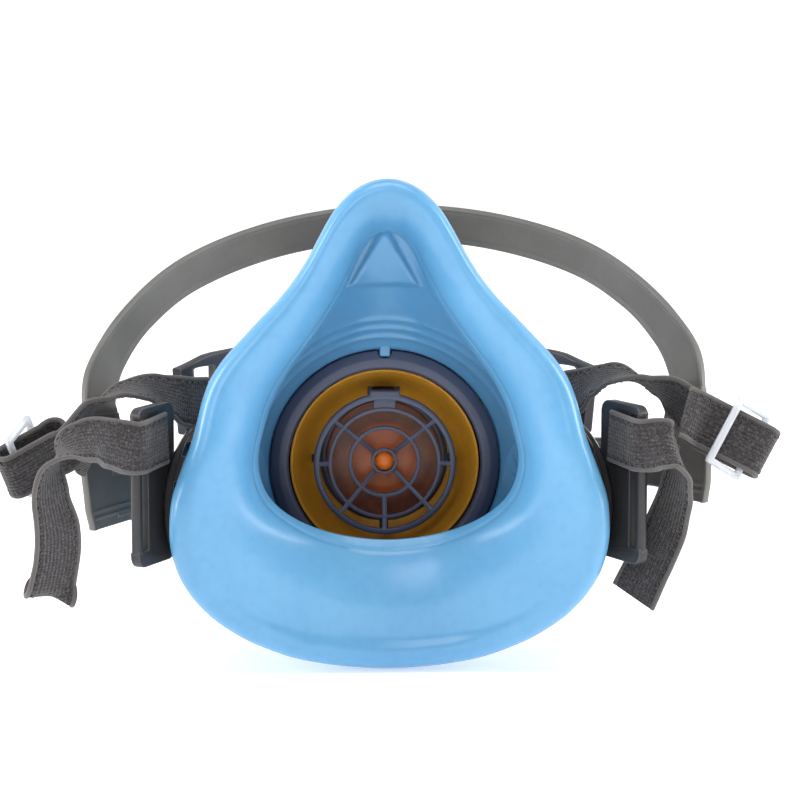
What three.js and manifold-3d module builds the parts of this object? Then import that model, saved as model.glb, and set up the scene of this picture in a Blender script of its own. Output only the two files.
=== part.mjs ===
// Half-mask respirator with a silicone facepiece, one central inlet with a
// front particulate filter, two side exhalation valves and a head harness.
// Millimetres. +Z is up, the wearer is on the -Y side, the filter points to +Y.
// The origin is on the inlet axis, in the plane of the face seal.
import * as THREE from 'three';
import { mergeVertices, mergeGeometries } from 'three/addons/utils/BufferGeometryUtils.js';
import Module from 'manifold-3d';

const wasm = await Module();
wasm.setup();

// ---------------------------------------------------------------- sizes
const RIM_THICK = 2.4;          // silicone wall
const LIP_THICK = 1.1;          // free edge of the reflex seal
const NECK_MID_R = 31.0;        // silicone neck round the clamp ring
const NECK_END_Y = 39.6;        // middle of the clamped silicone flange
const FLANGE_IN_R = 25.8;       // inner edge of that flange

const CLAMP_R = 29.3, CLAMP_IN_R = 24.7, CLAMP_Y0 = 33.2, CLAMP_Y1 = 38.0;
const KEY_W = 2.7, KEY_NOTCH_W = 3.9;

const GASKET_OUT_R = 24.3, GASKET_IN_R = 16.7;
const SEAT_R = 16.1, SEAT_BORE_R = 14.2, SEAT_FLANGE_R = 24.2;
const FLAP_R = 15.0, STEM_R = 1.5, STEM_TIP_R = 2.35;
const GUARD_R = 18.3, GUARD_BAR = 1.5, GUARD_HUB_R = 3.4;
const GUARD_Y = 33.4, HUB_Y = 39.6;

const VALVE_TILT = 27 * Math.PI / 180;   // side valve axis, turned forward from X
const VALVE_X = 46.5, VALVE_Y = 18.6, VALVE_Z = -6;  // centre of the cover's outer face
const COVER_R = 21.5, COVER_DEEP = 5.0;
const PORT_R = 9.6;                      // hole through the silicone for the valve seat

const LOOP_T0 = 13, LOOP_T1 = 32, LOOP_Z0 = -18.6, LOOP_Z1 = 20.5, LOOP_THICK = 2.5;
const SLOT_T0 = 25.9, SLOT_T1 = 29.0, SLOT_Z0 = -14.6, SLOT_Z1 = 18.4;
const BAR_R = 1.35;

const SHELL_Y0 = 41.2, SHELL_Y1 = 44.0, SHELL_R = 36, SHELL_BORE_R = 24.7;
const FILTER_R = 35.0, FILTER_CAP_R = 38.5, FILTER_Y0 = 47.8, FILTER_Y1 = 68.0;

const STRAP_W = 13.0, STRAP_T = 1.3;     // knitted elastic
const BAND_W = 11.0, BAND_T = 2.0;       // cradle bands
const CRADLE_X = 2.5, CRADLE_ROLL = -0.04;

// ---------------------------------------------------------------- helpers
const V = (x, y, z) => new THREE.Vector3(x, y, z);
const mat = (color, roughness = 0.5, metalness = 0) =>
  new THREE.MeshStandardMaterial({ color, roughness, metalness });

const SILICONE = 0x79bbe6, SLATE = 0x55586e, AMBER = 0xc98322, ORANGE = 0xf07a1c,
  DARK = 0x3b3a3b, STRAP = 0x56524f, GREY = 0x76746e, WHITE = 0xe3e8ee, PAD = 0xdedcd2;

const part = new THREE.Group();

function clean(geometry) {
  let g = geometry.clone();
  for (const k of Object.keys(g.attributes)) if (k !== 'position') g.deleteAttribute(k);
  g = mergeVertices(g, 1e-3);
  const idx = g.index.array, out = [], p = g.attributes.position;
  const a = V(), b = V(), c = V();
  for (let i = 0; i < idx.length; i += 3) {
    const [x, y, z] = [idx[i], idx[i + 1], idx[i + 2]];
    if (x === y || y === z || x === z) continue;
    out.push(x, y, z);
  }
  let vol = 0;
  for (let i = 0; i < out.length; i += 3) {
    a.fromBufferAttribute(p, out[i]); b.fromBufferAttribute(p, out[i + 1]); c.fromBufferAttribute(p, out[i + 2]);
    vol += a.dot(b.clone().cross(c));
  }
  if (vol < 0) for (let i = 0; i < out.length; i += 3) [out[i + 1], out[i + 2]] = [out[i + 2], out[i + 1]];
  g.setIndex(out);
  return g;
}
function solid(geometry) {
  const g = clean(geometry);
  return new wasm.Manifold(new wasm.Mesh({
    numProp: 3,
    vertProperties: new Float32Array(g.attributes.position.array),
    triVerts: new Uint32Array(g.index.array),
  }));
}
function fromSolid(s) {
  const m = s.getMesh();
  const g = new THREE.BufferGeometry();
  const n = m.numProp, pos = new Float32Array(m.vertProperties.length / n * 3);
  for (let i = 0; i < pos.length / 3; i++) for (let k = 0; k < 3; k++) pos[3 * i + k] = m.vertProperties[n * i + k];
  g.setAttribute('position', new THREE.BufferAttribute(pos, 3));
  g.setIndex(new THREE.BufferAttribute(new Uint32Array(m.triVerts), 1));
  return g;
}
const moved = (g, x, y, z) => g.clone().translate(x, y, z);
function put(name, geometry, material, parent = part) {
  const g = geometry.isBufferGeometry ? clean(geometry) : fromSolid(geometry);
  g.computeVertexNormals();
  const m = new THREE.Mesh(g, material);
  m.name = name;
  parent.add(m);
  return m;
}
// ring or disc turned about the Y axis: profile of [radius, y]
function turned(profile, seg = 30) {
  const g = new THREE.LatheGeometry(profile.map(([r, y]) => new THREE.Vector2(r, y)), seg);
  return g;    // the lathe axis is already Y
}
const ringProfile = (r0, r1, y0, y1, c = 0) => c
  ? [[r0, y0], [r1 - c, y0], [r1, y0 + c], [r1, y1], [r0, y1], [r0, y0]]
  : [[r0, y0], [r1, y0], [r1, y1], [r0, y1], [r0, y0]];
const discProfile = (r, y0, y1) => [[0, y0], [r, y0], [r, y1], [0, y1]];
const box = (x0, x1, y0, y1, z0, z1) =>
  new THREE.BoxGeometry(x1 - x0, y1 - y0, z1 - z0).translate((x0 + x1) / 2, (y0 + y1) / 2, (z0 + z1) / 2);
const union = list => list.map(g => g.isBufferGeometry ? solid(g) : g).reduce((a, b) => a.add(b));

// a flat webbing or moulded band: centre points with width vectors
function ribbon(stations, width, thick, n, widthAt) {
  const P = new THREE.CatmullRomCurve3(stations.map(s => V(s[0], s[1], s[2])), false, 'centripetal');
  const Wv = stations.map(s => V(s[3], s[4], s[5]).normalize());
  const g = new THREE.BoxGeometry(width, thick, 1, 1, 1, n);
  const p = g.attributes.position;
  const lens = [0];
  // find the curve parameter of each station to carry the width vectors along
  const m = stations.length - 1;
  const frame = t => {
    const k = Math.min(m - 1, Math.floor(t * m)), f = t * m - k;
    const s = f * f * (3 - 2 * f);
    const w = Wv[k].clone().lerp(Wv[k + 1], s).normalize();
    const c = P.getPoint(t), T = P.getTangent(t).normalize();
    w.addScaledVector(T, -w.dot(T)).normalize();
    return { c, w, n: T.clone().cross(w).normalize() };
  };
  for (let i = 0; i < p.count; i++) {
    const x = p.getX(i), y = p.getY(i), t = Math.min(1, Math.max(0, p.getZ(i) + 0.5));
    const f = frame(t), k = widthAt ? widthAt(t) : 1;
    const q = f.c.clone().addScaledVector(f.w, x * k).addScaledVector(f.n, y);
    p.setXYZ(i, q.x, q.y, q.z);
  }
  return g;
}

// ---------------------------------------------------------------- facepiece
// half outline of the seal rim and of the free lip, [half width, height]
const OUTLINE = [[0, 74.9], [4.2, 74.2], [8.0, 72.3], [10.8, 69.9], [12.9, 67.5], [14.5, 65.1], [17.2, 60.3], [19.8, 55.5],
  [22.9, 50.8], [26.8, 46.0], [31.4, 41.3], [35.9, 36.6], [40.2, 31.9], [43.4, 27.2], [45.3, 22.5],
  [46.5, 17.8], [47.7, 13.1], [49.5, 8.4], [51.3, 3.5], [52.8, -1.3], [53.4, -6.1], [53.5, -11.1],
  [52.8, -16.2], [51.1, -21.4], [48.1, -26.6], [43.4, -32.0], [36.2, -37.5], [30.8, -40.4],
  [23.5, -43.4], [13.6, -45.5], [0, -46.5]];
const LIP = [[0, 62.6], [2.6, 62.1], [4.6, 60.6], [7.3, 55.0], [9.5, 49.7], [14.8, 41.0], [20.7, 33.2],
  [25.7, 26.5], [29.4, 19.5], [31.7, 11.3], [32.5, 7.7], [31.9, 1.4], [29.5, -3.9], [23.6, -9.1],
  [14.1, -13.2], [0, -15.2]];
const CY = 4;    // centre height of the radial sections
const lerpTable = (x, xs, ys) => {
  if (x <= xs[0]) return ys[0];
  for (let i = 1; i < xs.length; i++) if (x <= xs[i]) {
    const f = (x - xs[i - 1]) / (xs[i] - xs[i - 1]);
    return ys[i - 1] + f * (ys[i] - ys[i - 1]);
  }
  return ys[ys.length - 1];
};
const rimY = z => lerpTable(z, [-47, -38, -25, -8, 10, 30, 50, 76], [2, -4, -9, -12, -11, -6, 0, 6]);
const lipY = z => lerpTable(z, [-20, -10, 5, 30, 60], [10, 6, 2, 7, 14]);

function closedCurve(half) {
  const pts = half.map(([x, z]) => V(x, 0, z));
  for (let i = half.length - 2; i > 0; i--) pts.push(V(-half[i][0], 0, half[i][1]));
  return new THREE.CatmullRomCurve3(pts, true, 'centripetal');
}
function rayTable(half) {
  const pts = closedCurve(half).getPoints(720).map(p => [p.x, p.z - CY]);
  return phi => {       // distance from the section centre along the ray phi
    const cx = Math.cos(phi), cz = Math.sin(phi);
    let best = 0;
    for (let i = 0; i + 1 < pts.length; i++) {
      const [ax, az] = pts[i], [bx, bz] = pts[i + 1];
      const da = ax * cz - az * cx, db = bx * cz - bz * cx;
      if (da === db || da * db > 0) continue;
      const f = da / (da - db), r = (ax + f * (bx - ax)) * cx + (az + f * (bz - az)) * cz;
      if (r > best) best = r;
    }
    return best;
  };
}
const rOut = rayTable(OUTLINE), rLip = rayTable(LIP);
const rCircle = (R, phi) => {   // a circle centred on the inlet axis, from the section centre
  const b = CY * Math.sin(phi);
  return -b + Math.sqrt(b * b - (CY * CY - R * R));
};
const FN = 46;
const phis = closedCurve(OUTLINE).getSpacedPoints(FN).slice(0, FN).map(p => Math.atan2(p.z - CY, p.x));

function facepieceSection(phi) {
  const Ro = rOut(phi), Rl = rLip(phi);
  const zO = CY + Ro * Math.sin(phi), zL = CY + Rl * Math.sin(phi);
  const yo = rimY(zO), yl = lipY(zL), Rn = rCircle(NECK_MID_R, phi), Rf = rCircle(FLANGE_IN_R, phi);
  const d = Ro - Rl;
  // middle line of the silicone from the free lip round the rim to the clamped flange
  const mid = [
    [Rl, yl, LIP_THICK], [Rl + 0.22 * d, yl - 0.5 * (yl - yo), 1.6], [Rl + 0.5 * d, yl - 0.82 * (yl - yo), 2.0],
    [Rl + 0.76 * d, yo + 0.8, RIM_THICK], [Ro - 2.6, yo + 1.0, RIM_THICK], [Ro - 1.25, yo + 3.2, RIM_THICK],
    [Ro - 1.9 - 0.02 * (Ro - Rn), yo + 7, RIM_THICK],
    [Rn + 0.62 * (Ro - Rn) - 1.5, yo + 0.42 * (34 - yo), RIM_THICK],
    [Rn + 0.27 * (Ro - Rn) - 0.5, yo + 0.74 * (34 - yo), RIM_THICK],
    [Rn, 34.2, RIM_THICK], [Rn, NECK_END_Y, RIM_THICK], [Rf, NECK_END_Y, RIM_THICK],
  ];
  const A = [], B = [];
  for (let i = 0; i < mid.length; i++) {
    const p = mid[Math.max(0, i - 1)], c = mid[i], q = mid[Math.min(mid.length - 1, i + 1)];
    let n1 = [-(c[1] - p[1]), c[0] - p[0]], n2 = [-(q[1] - c[1]), q[0] - c[0]];
    if (i === 0) n1 = n2; if (i === mid.length - 1) n2 = n1;
    const l1 = Math.hypot(...n1), l2 = Math.hypot(...n2);
    let n = [n1[0] / l1 + n2[0] / l2, n1[1] / l1 + n2[1] / l2];
    const l = Math.hypot(...n); n = [n[0] / l, n[1] / l];
    const cosHalf = Math.max(0.55, (n[0] * n1[0] + n[1] * n1[1]) / l1);
    const h = c[2] / 2 / cosHalf;
    A.push([c[0] + n[0] * h, c[1] + n[1] * h]);
    B.push([c[0] - n[0] * h, c[1] - n[1] * h]);
  }
  return A.concat(B.reverse());
}
function facepieceBody() {
  const sections = phis.map(facepieceSection), M = sections[0].length;
  const g = new THREE.TorusGeometry(10, 2, M, FN);
  const p = g.attributes.position;
  let i = 0;
  for (let j = 0; j <= M; j++) for (let k = 0; k <= FN; k++, i++) {
    const phi = phis[k % FN], [r, y] = sections[k % FN][j % M];
    p.setXYZ(i, r * Math.cos(phi), y, CY + r * Math.sin(phi));
  }
  return g;
}
// things set along the side valve axis: local z runs outboard along the axis
function sideGroup(sign) {
  const g = new THREE.Group();
  g.position.set(sign * VALVE_X, VALVE_Y, VALVE_Z);
  const n = V(sign * Math.cos(VALVE_TILT), Math.sin(VALVE_TILT), 0);
  const up = V(0, 0, 1), t = up.clone().cross(n);   // right-handed: t, up, n
  g.matrixAutoUpdate = true;
  g.quaternion.setFromRotationMatrix(new THREE.Matrix4().makeBasis(t, up, n));
  g.updateMatrix();
  return g;
}
// lathe about local z: profile of [radius, s]
const axial = (profile, seg = 26) => turned(profile, seg).rotateX(Math.PI / 2);
const sides = [[-1, 'L'], [1, 'R']];

let face = solid(facepieceBody());
for (const [sign] of sides) {
  const M = sideGroup(sign).matrix;
  face = face.add(solid(axial(ringProfile(PORT_R - 0.8, 17.0, -10.0, -7.3), 24).applyMatrix4(M)));
  face = face.subtract(solid(axial(discProfile(PORT_R, -14, 2), 24).applyMatrix4(M)));
  face = face.subtract(solid(axial(discProfile(15.4, -7.3, 3), 24).applyMatrix4(M)));
}
face = face.add(solid(box(-KEY_W / 2, KEY_W / 2, 33.4, 37.2, 27.9, 31.6)));
put('facepiece', face, mat(SILICONE, 0.35));

// ---------------------------------------------------------------- inlet
let clamp = solid(turned([[CLAMP_IN_R, CLAMP_Y0 + 0.6], [CLAMP_IN_R + 0.6, CLAMP_Y0], [CLAMP_R - 2.0, CLAMP_Y0],
  [CLAMP_R, CLAMP_Y0 + 1.6], [CLAMP_R, CLAMP_Y1], [CLAMP_IN_R, CLAMP_Y1], [CLAMP_IN_R, CLAMP_Y0 + 0.6]], 32));
clamp = clamp.subtract(solid(box(-KEY_NOTCH_W / 2, KEY_NOTCH_W / 2, CLAMP_Y0 - 1, CLAMP_Y1 + 1, 27.4, 34)));
put('clamp_ring', clamp, mat(SLATE, 0.5));

// amber bowl-shaped gasket, notched where the guard's legs pass
const LEGS = [0, Math.PI, -Math.PI / 2];
const legAt = (phi, w, r0, r1, y0, y1) => box(r0, r1, y0, y1, -w / 2, w / 2).rotateY(-phi);
let gasket = solid(turned([[GASKET_OUT_R - 0.6, 36.2], [GASKET_OUT_R, 36.2], [GASKET_OUT_R, 46.3],
  [GASKET_IN_R, 46.3], [GASKET_IN_R, 45.2], [19.0, 43.6], [21.4, 40.4], [GASKET_OUT_R - 0.6, 36.2]], 32));
for (const phi of LEGS) gasket = gasket.subtract(solid(legAt(phi, 2.2, 15, 18.7, 30, 47.5)));
gasket = gasket.subtract(solid(legAt(Math.PI / 2, 8.4, 15, 18.9, 30, 47.5)));
put('inlet_gasket', gasket, mat(AMBER, 0.45));

const spokeZ = (phi, w, r0, r1, y0, y1) => legAt(phi, w, r0, r1, y0, y1);
let seat = union([
  turned([[SEAT_BORE_R, 46.7], [SEAT_FLANGE_R, 46.7], [SEAT_FLANGE_R, 48.6], [SEAT_BORE_R, 48.6], [SEAT_BORE_R, 46.7]], 32),
  turned([[SEAT_BORE_R, 45.2], [SEAT_R - 0.5, 44.8], [SEAT_R, 45.2], [SEAT_R, 47.0], [SEAT_BORE_R, 47.0], [SEAT_BORE_R, 45.2]], 32),
  turned(ringProfile(2.2, 4.2, 46.9, 48.6), 24),
  ...[0.5, 2.6, 4.7].map(a => spokeZ(a, 1.6, 3.4, 15, 47.1, 48.6)),
]);
put('inlet_seat', seat, mat(SLATE, 0.5));

// flap with its stem: the tip reaches through the guard's hub
put('inlet_flap', turned([[0, 37.2], [1.5, 37.5], [STEM_TIP_R - 0.05, 38.3], [STEM_TIP_R, 39.2], [STEM_R, 40.4], [STEM_R, 43.2], [5.5, 43.6],
  [FLAP_R - 0.8, 44.0], [FLAP_R, 44.1], [FLAP_R, 44.6], [5.5, 44.5], [1.7, 45.6], [1.7, 48.9], [0, 49.6]], 32), mat(ORANGE, 0.45));

// domed guard: outer ring nearest the wearer, hub set deeper
function slantBar(phi, w, r0, y0, r1, y1, h) {
  const g = new THREE.BoxGeometry(1, h, w);
  const p = g.attributes.position;
  for (let i = 0; i < p.count; i++) {
    const f = p.getX(i) + 0.5;
    p.setX(i, r0 + f * (r1 - r0));
    p.setY(i, p.getY(i) + y0 + f * (y1 - y0));
  }
  return g.rotateY(-phi);
}
const ry = r => GUARD_Y + 0.9 + (HUB_Y - GUARD_Y) * (GUARD_R - 1 - r) / (GUARD_R - 1 - GUARD_HUB_R);
const guardRing = (r0, r1, h = 1.5) => turned(ringProfile(r0, r1, ry((r0 + r1) / 2) - h / 2, ry((r0 + r1) / 2) + h / 2), 28);
let guard = union([
  turned([[GUARD_R - GUARD_BAR, GUARD_Y], [GUARD_R - 0.4, GUARD_Y], [GUARD_R, GUARD_Y + 0.4], [GUARD_R, GUARD_Y + 2], [GUARD_R - GUARD_BAR, GUARD_Y + 2], [GUARD_R - GUARD_BAR, GUARD_Y]], 32),
  guardRing(13.5, 14.5), guardRing(8.3, 9.4),
  turned(ringProfile(2.62, GUARD_HUB_R, HUB_Y - 0.9, HUB_Y + 1.0), 24),
  ...[0.72, 2.42, 3.98, 5.5].map(a => slantBar(a, 1.15, 3.0, ry(3.0), GUARD_R - 0.5, ry(GUARD_R - 0.5), 1.4)),
  ...[0, Math.PI].map(a => slantBar(a, 1.2, 14, ry(14), GUARD_R - 0.5, ry(GUARD_R - 0.5), 1.4)),
  slantBar(-Math.PI / 2, 1.2, 8.9, ry(8.9), GUARD_R - 0.5, ry(GUARD_R - 0.5), 1.4),
  ...LEGS.map(a => legAt(a, 1.5, 16.75, 18.1, 34.6, 46.4)),
  // latch tab at the top
  box(-3.85, 3.85, GUARD_Y + 0.1, GUARD_Y + 2.2, 16.9, 19.0),
  box(-2.9, 2.9, GUARD_Y + 1.9, 46.4, 16.9, 18.3),
  box(-2.9, 2.9, 35.6, 37.2, 13.9, 17.4),
]);
put('inlet_guard', guard, mat(SLATE, 0.5));

// ---------------------------------------------------------------- front shell
// plate in front of the silicone with two arms that carry the upper straps
let shell = solid(turned([[SHELL_BORE_R, SHELL_Y0], [33.5, SHELL_Y0], [SHELL_R, SHELL_Y0 + 2], [SHELL_R, 47.4], [27.0, 47.4], [27.0, 49.2], [SHELL_BORE_R, 49.2], [SHELL_BORE_R, SHELL_Y0]], 32));
for (const [sign] of sides) {
  const arm = ribbon([[sign * 26, 44.6, 20, 0, 0, 1], [sign * 34, 44.2, 22.0, 0, 0, 1], [sign * 42, 40.0, 20.6, 0, 0.0, 1],
    [sign * 48.5, 33.5, 18.4, 0, 0, 1], [sign * 52.2, 27.6, 17.4, 0, 0, 1]], 17.5, 2.6, 10, t => 0.7 + 0.3 * Math.min(1, t * 1.6));
  shell = shell.add(solid(arm));
}
shell = shell.subtract(solid(turned(discProfile(SHELL_BORE_R, 30, 60), 40)));
for (const [sign] of sides) shell = shell.subtract(solid(box(-1.5, 1.5, -5, 5, -6.9, 6.9)
  .rotateZ(sign * 0.72).translate(sign * 47.6, 34.6, 18.7)));
put('front_shell', shell, mat(DARK, 0.4));

// ---------------------------------------------------------------- side valves
for (const [sign, tag] of sides) {
  const grp = sideGroup(sign);
  part.add(grp);
  // seat: flange outside the silicone, tube through it, spider with a centre boss
  put('exhale_seat_' + tag, union([
    axial(ringProfile(7.8, 15.0, -7.0, -5.4), 22),
    axial(ringProfile(7.8, 9.3, -10.6, -6.8), 22),
    axial(ringProfile(9.3, 10.3, -5.6, -4.7), 22),
    axial(ringProfile(1.7, 3.2, -7.0, -5.4), 16),
    ...[0.4, 2.5, 4.6].map(a => box(2.6, 8.4, -0.7, 0.7, -7.0, -5.6).rotateZ(a)),
  ]), mat(SLATE, 0.5), grp);
  put('exhale_flap_' + tag, axial([[0, -7.6], [1.3, -7.6], [1.3, -4.4], [10.9, -4.4], [10.9, -3.9], [1.6, -3.7], [1.6, -3.4], [0, -3.4]], 28), mat(ORANGE, 0.5), grp);
  // round cover with a ring of vent slots in its rim
  let cover = solid(axial([[0, -1.6], [18.9, -1.6], [18.9, -5.0], [COVER_R, -5.0], [COVER_R, -3.4], [COVER_R - 0.6, -2.9], [COVER_R - 0.6, -1.4], [COVER_R - 2.0, 0], [0, 0]], 32));
  for (let i = 0; i < 12; i++) {
    if (i === 5 || i === 6 || i === 7) continue;
    cover = cover.subtract(solid(box(17, 23, -2.2, 2.2, -5.6, -3.6).rotateZ((i + 0.5) / 12 * 2 * Math.PI + (sign < 0 ? 0 : 0))));
  }
  put('exhale_cover_' + tag, cover, mat(DARK, 0.3), grp);
  // strap loop: a flat plate on the cover with a long slot and a round outer bar
  const u = t => -sign * t;          // toward the wearer in local x
  const lo = Math.min(u(LOOP_T0), u(LOOP_T1 - BAR_R)), hi = Math.max(u(LOOP_T0), u(LOOP_T1 - BAR_R));
  const zc = (LOOP_Z0 + LOOP_Z1) / 2 - VALVE_Z, zh = (LOOP_Z1 - LOOP_Z0) / 2;
  const shape = new THREE.Shape();
  const r = 3, x0 = lo, x1 = hi, y0 = zc - zh, y1 = zc + zh;
  shape.moveTo(x0 + r, y0); shape.lineTo(x1 - r, y0); shape.absarc(x1 - r, y0 + r, r, -Math.PI / 2, 0, false);
  shape.lineTo(x1, y1 - r); shape.absarc(x1 - r, y1 - r, r, 0, Math.PI / 2, false);
  shape.lineTo(x0 + r, y1); shape.absarc(x0 + r, y1 - r, r, Math.PI / 2, Math.PI, false);
  shape.lineTo(x0, y0 + r); shape.absarc(x0 + r, y0 + r, r, Math.PI, 1.5 * Math.PI, false);
  let loop = solid(new THREE.ExtrudeGeometry(shape, { depth: LOOP_THICK, bevelEnabled: false, curveSegments: 4 }).translate(0, 0, 0.3));
  const s0 = Math.min(u(SLOT_T0), u(SLOT_T1)), s1 = Math.max(u(SLOT_T0), u(SLOT_T1));
  loop = loop.subtract(solid(box(s0, s1, SLOT_Z0 - VALVE_Z, SLOT_Z1 - VALVE_Z, -2, 5)));
  // the bar beside the slot is turned down to a round rod
  const e0 = Math.min(u(SLOT_T1 - 0.1), u(LOOP_T1 + 1)), e1 = Math.max(u(SLOT_T1 - 0.1), u(LOOP_T1 + 1));
  loop = loop.subtract(solid(box(e0, e1, SLOT_Z0 - VALVE_Z, SLOT_Z1 - VALVE_Z, -2, 5)));
  loop = loop.add(solid(new THREE.CylinderGeometry(BAR_R, BAR_R, SLOT_Z1 - SLOT_Z0 + 1.2, 16)
    .translate(u(LOOP_T1 - 1.35 - BAR_R + 0.2), (SLOT_Z0 + SLOT_Z1) / 2 - VALVE_Z, 0.3 + LOOP_THICK / 2)));
  put('strap_loop_' + tag, loop, mat(DARK, 0.35), grp);
}

// ---------------------------------------------------------------- filter
put('filter_base', solid(turned([[24.0, 49.5], [FILTER_R, 49.5], [FILTER_R, 54.5], [33.4, 54.5], [33.4, 51.6], [24.0, 51.6], [24.0, 49.5]], 32))
  .add(union([0, 1, 2].map(i => box(34.4, 36.2, 50.0, 51.8, -4, 4).rotateY(i * 2 * Math.PI / 3)))), mat(DARK, 0.45));
put('filter_gasket', turned(ringProfile(28.6, 33.0, 51.9, 53.4), 48), mat(0x2b2b2c, 0.8));
put('filter_pad', turned(discProfile(32.8, 53.7, 64.6), 48), mat(PAD, 0.9));
let cap = solid(turned([[0, 65.2], [33.4, 65.2], [35.4, 63.6], [35.4, 54.8], [36.7, 54.8], [36.7, FILTER_Y0 + 0.6], [FILTER_CAP_R, FILTER_Y0 + 0.6],
  [FILTER_CAP_R, 64.5], [36.2, 67.2], [30, FILTER_Y1], [0, FILTER_Y1]], 32));
const hole = (x, z, r) => new THREE.CylinderGeometry(r, r, 8, 6).translate(x, 66, z);
for (let i = 0; i < 6; i++) cap = cap.subtract(solid(hole(13 * Math.cos(i * Math.PI / 3), 13 * Math.sin(i * Math.PI / 3), 2.8)));
for (let i = 0; i < 12; i++) cap = cap.subtract(solid(hole(24 * Math.cos((i + 0.5) * Math.PI / 6), 24 * Math.sin((i + 0.5) * Math.PI / 6), 2.8)));
for (let i = 0; i < 12; i++) cap = cap.add(solid(box(38.0, 39.6, 50, 62, -1.1, 1.1).rotateY(i * Math.PI / 6)));
put('filter_cap', cap, mat(DARK, 0.45));

// ---------------------------------------------------------------- webbing
// one buckle frame: T along the strap outward, W across it, N from the outgoing to the returning layer
const FOLD_R = 2.6;
function strapSet(tag, out, C, T, W, tail, nearSide, order) {
  C = V(...C); T = V(...T).normalize(); W = V(...W); W.addScaledVector(T, -W.dot(T)).normalize();
  const N = T.clone().cross(W).normalize();
  const at = (a, b) => { const q = C.clone().addScaledVector(T, a).addScaledVector(N, b * order); return [q.x, q.y, q.z, W.x, W.y, W.z]; };
  const fold = [];
  for (let i = 0; i <= 6; i++) { const a = -Math.PI / 2 + i * Math.PI / 6; fold.push(at(6.2 + FOLD_R * Math.cos(a), FOLD_R * Math.sin(a))); }
  const path = [...out, at(-7.5, -FOLD_R), at(-4, -FOLD_R), at(0, -FOLD_R), at(3.6, -FOLD_R), ...fold, at(3.6, FOLD_R), at(0, FOLD_R), at(-4, FOLD_R), at(-7.5, FOLD_R), ...tail];
  put('upper_strap_' + tag, ribbon(path, STRAP_W, STRAP_T, 64), mat(STRAP, 0.95));
  // the buckle: far rail inside the fold, near rail outside the layers
  const basis = new THREE.Matrix4().makeBasis(T, W, N).setPosition(C);
  const a0 = [4.6, 0], a1 = [-2.6, nearSide * (FOLD_R + STRAP_T / 2 + 1.5)];
  const rail = ([a, b], r, len) => new THREE.CylinderGeometry(r, r, len, 12).translate(a, 0, b);
  const dx = a1[0] - a0[0], dz = a1[1] - a0[1], L = Math.hypot(dx, dz), ang = Math.atan2(dz, dx);
  const end = s => new THREE.BoxGeometry(L + 1.6, 1.6, 1.7).rotateY(-ang).translate((a0[0] + a1[0]) / 2, s * 8.2, (a0[1] + a1[1]) / 2);
  const buckle = union([rail(a0, 0.95, 16.6), rail(a1, 0.95, 16.6), end(1), end(-1)]);
  put('buckle_' + tag, fromSolid(buckle).applyMatrix4(basis), mat(WHITE, 0.3));
  return { C, T, W, N };
}
const bl = strapSet('L',
  [[-45.4, 27.5, 17.2, 0, -0.05, -1], [-49.6, 22.0, 18.0, 0.0, -0.2, -1], [-55.3, 17.0, 20.4, 0.15, -0.7, -0.7], [-62.4, 11.0, 22.4, 0.2, -0.96, -0.2],
    [-69.6, 5.2, 20.6, 0.15, -0.97, 0.15], [-74.2, 1.8, 17.4, -0.1, -0.85, 0.45]],
  [-85.8, -2.4, 7.8], [-0.84, -0.33, -0.43], [-0.35, -0.5, 0.78],
  [[-75.8, 0.6, 7.6, -0.3, -0.6, 0.72], [-72.6, 0.6, 6.0, -0.3, -0.6, 0.72]], 1, 1);
const br = strapSet('R',
  [[45.4, 27.5, 18.2, 0, -0.05, -1], [48.4, 21.6, 20.2, -0.1, -0.5, -0.85], [53.0, 17.0, 23.6, -0.1, -0.92, -0.38], [58.5, 11.5, 25.0, 0.1, -0.99, -0.05],
    [65.2, 7.5, 23.6, 0.15, -0.95, 0.25], [71.5, 3.6, 20.4, 0.25, -0.62, 0.72]],
  [84.2, -4.6, 12.2], [0.86, -0.28, -0.42], [0.48, 0.22, 0.84],
  [[73.6, -7.2, 18.4, 0.46, 0.4, 0.8], [71.4, -8.0, 19.4, 0.46, 0.4, 0.8]], 1, 1);

// lower straps: a sewn eye round the loop's bar, then the free webbing
function barCentre(sign) {
  const grp = sideGroup(sign);
  return V(-sign * (LOOP_T1 - 1.35 - BAR_R + 0.2), 0, 0.3 + LOOP_THICK / 2).applyMatrix4(grp.matrix);
}
function eye(sign, z, a0, a1, n) {
  const c = barCentre(sign), R = BAR_R + 0.7 + STRAP_T / 2, list = [];
  for (let i = 0; i <= n; i++) { const a = a0 + (a1 - a0) * i / n; list.push([c.x + sign * R * Math.cos(a), c.y + R * Math.sin(a), z, 0, 0, -1]); }
  return list;
}
put('lower_strap_L', ribbon([...eye(-1, 11.4, 0.9, 4.6, 7),
  [-67.5, -13.6, 13.2, 0.02, -0.45, -0.85], [-72.4, -17.8, 14.2, -0.03, -0.8, -0.58], [-77.5, -20.2, 12.6, -0.24, -0.85, -0.5], [-80.8, -20.6, 7.6, -0.42, -0.86, -0.26], [-80.9, -19.4, 0.6, -0.59, -0.8, -0.02],
  [-79.6, -17.8, -7.6, -0.74, -0.65, 0.12], [-79.9, -16.0, -14.0, -0.76, -0.62, 0.18], [-81.0, -14.8, -19.5, -0.76, -0.6, 0.22],
  [-81.7, -13.8, -22.4, -0.76, -0.6, 0.24], [-82.0, -11.8, -23.8, -0.76, -0.6, 0.24], [-81.6, -9.8, -22.4, -0.76, -0.6, 0.24], [-80.8, -8.8, -17.5, -0.76, -0.6, 0.22], [-80.2, -8.8, -9.5, -0.74, -0.65, 0.2]],
  STRAP_W, STRAP_T, 56), mat(STRAP, 0.95));
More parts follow.
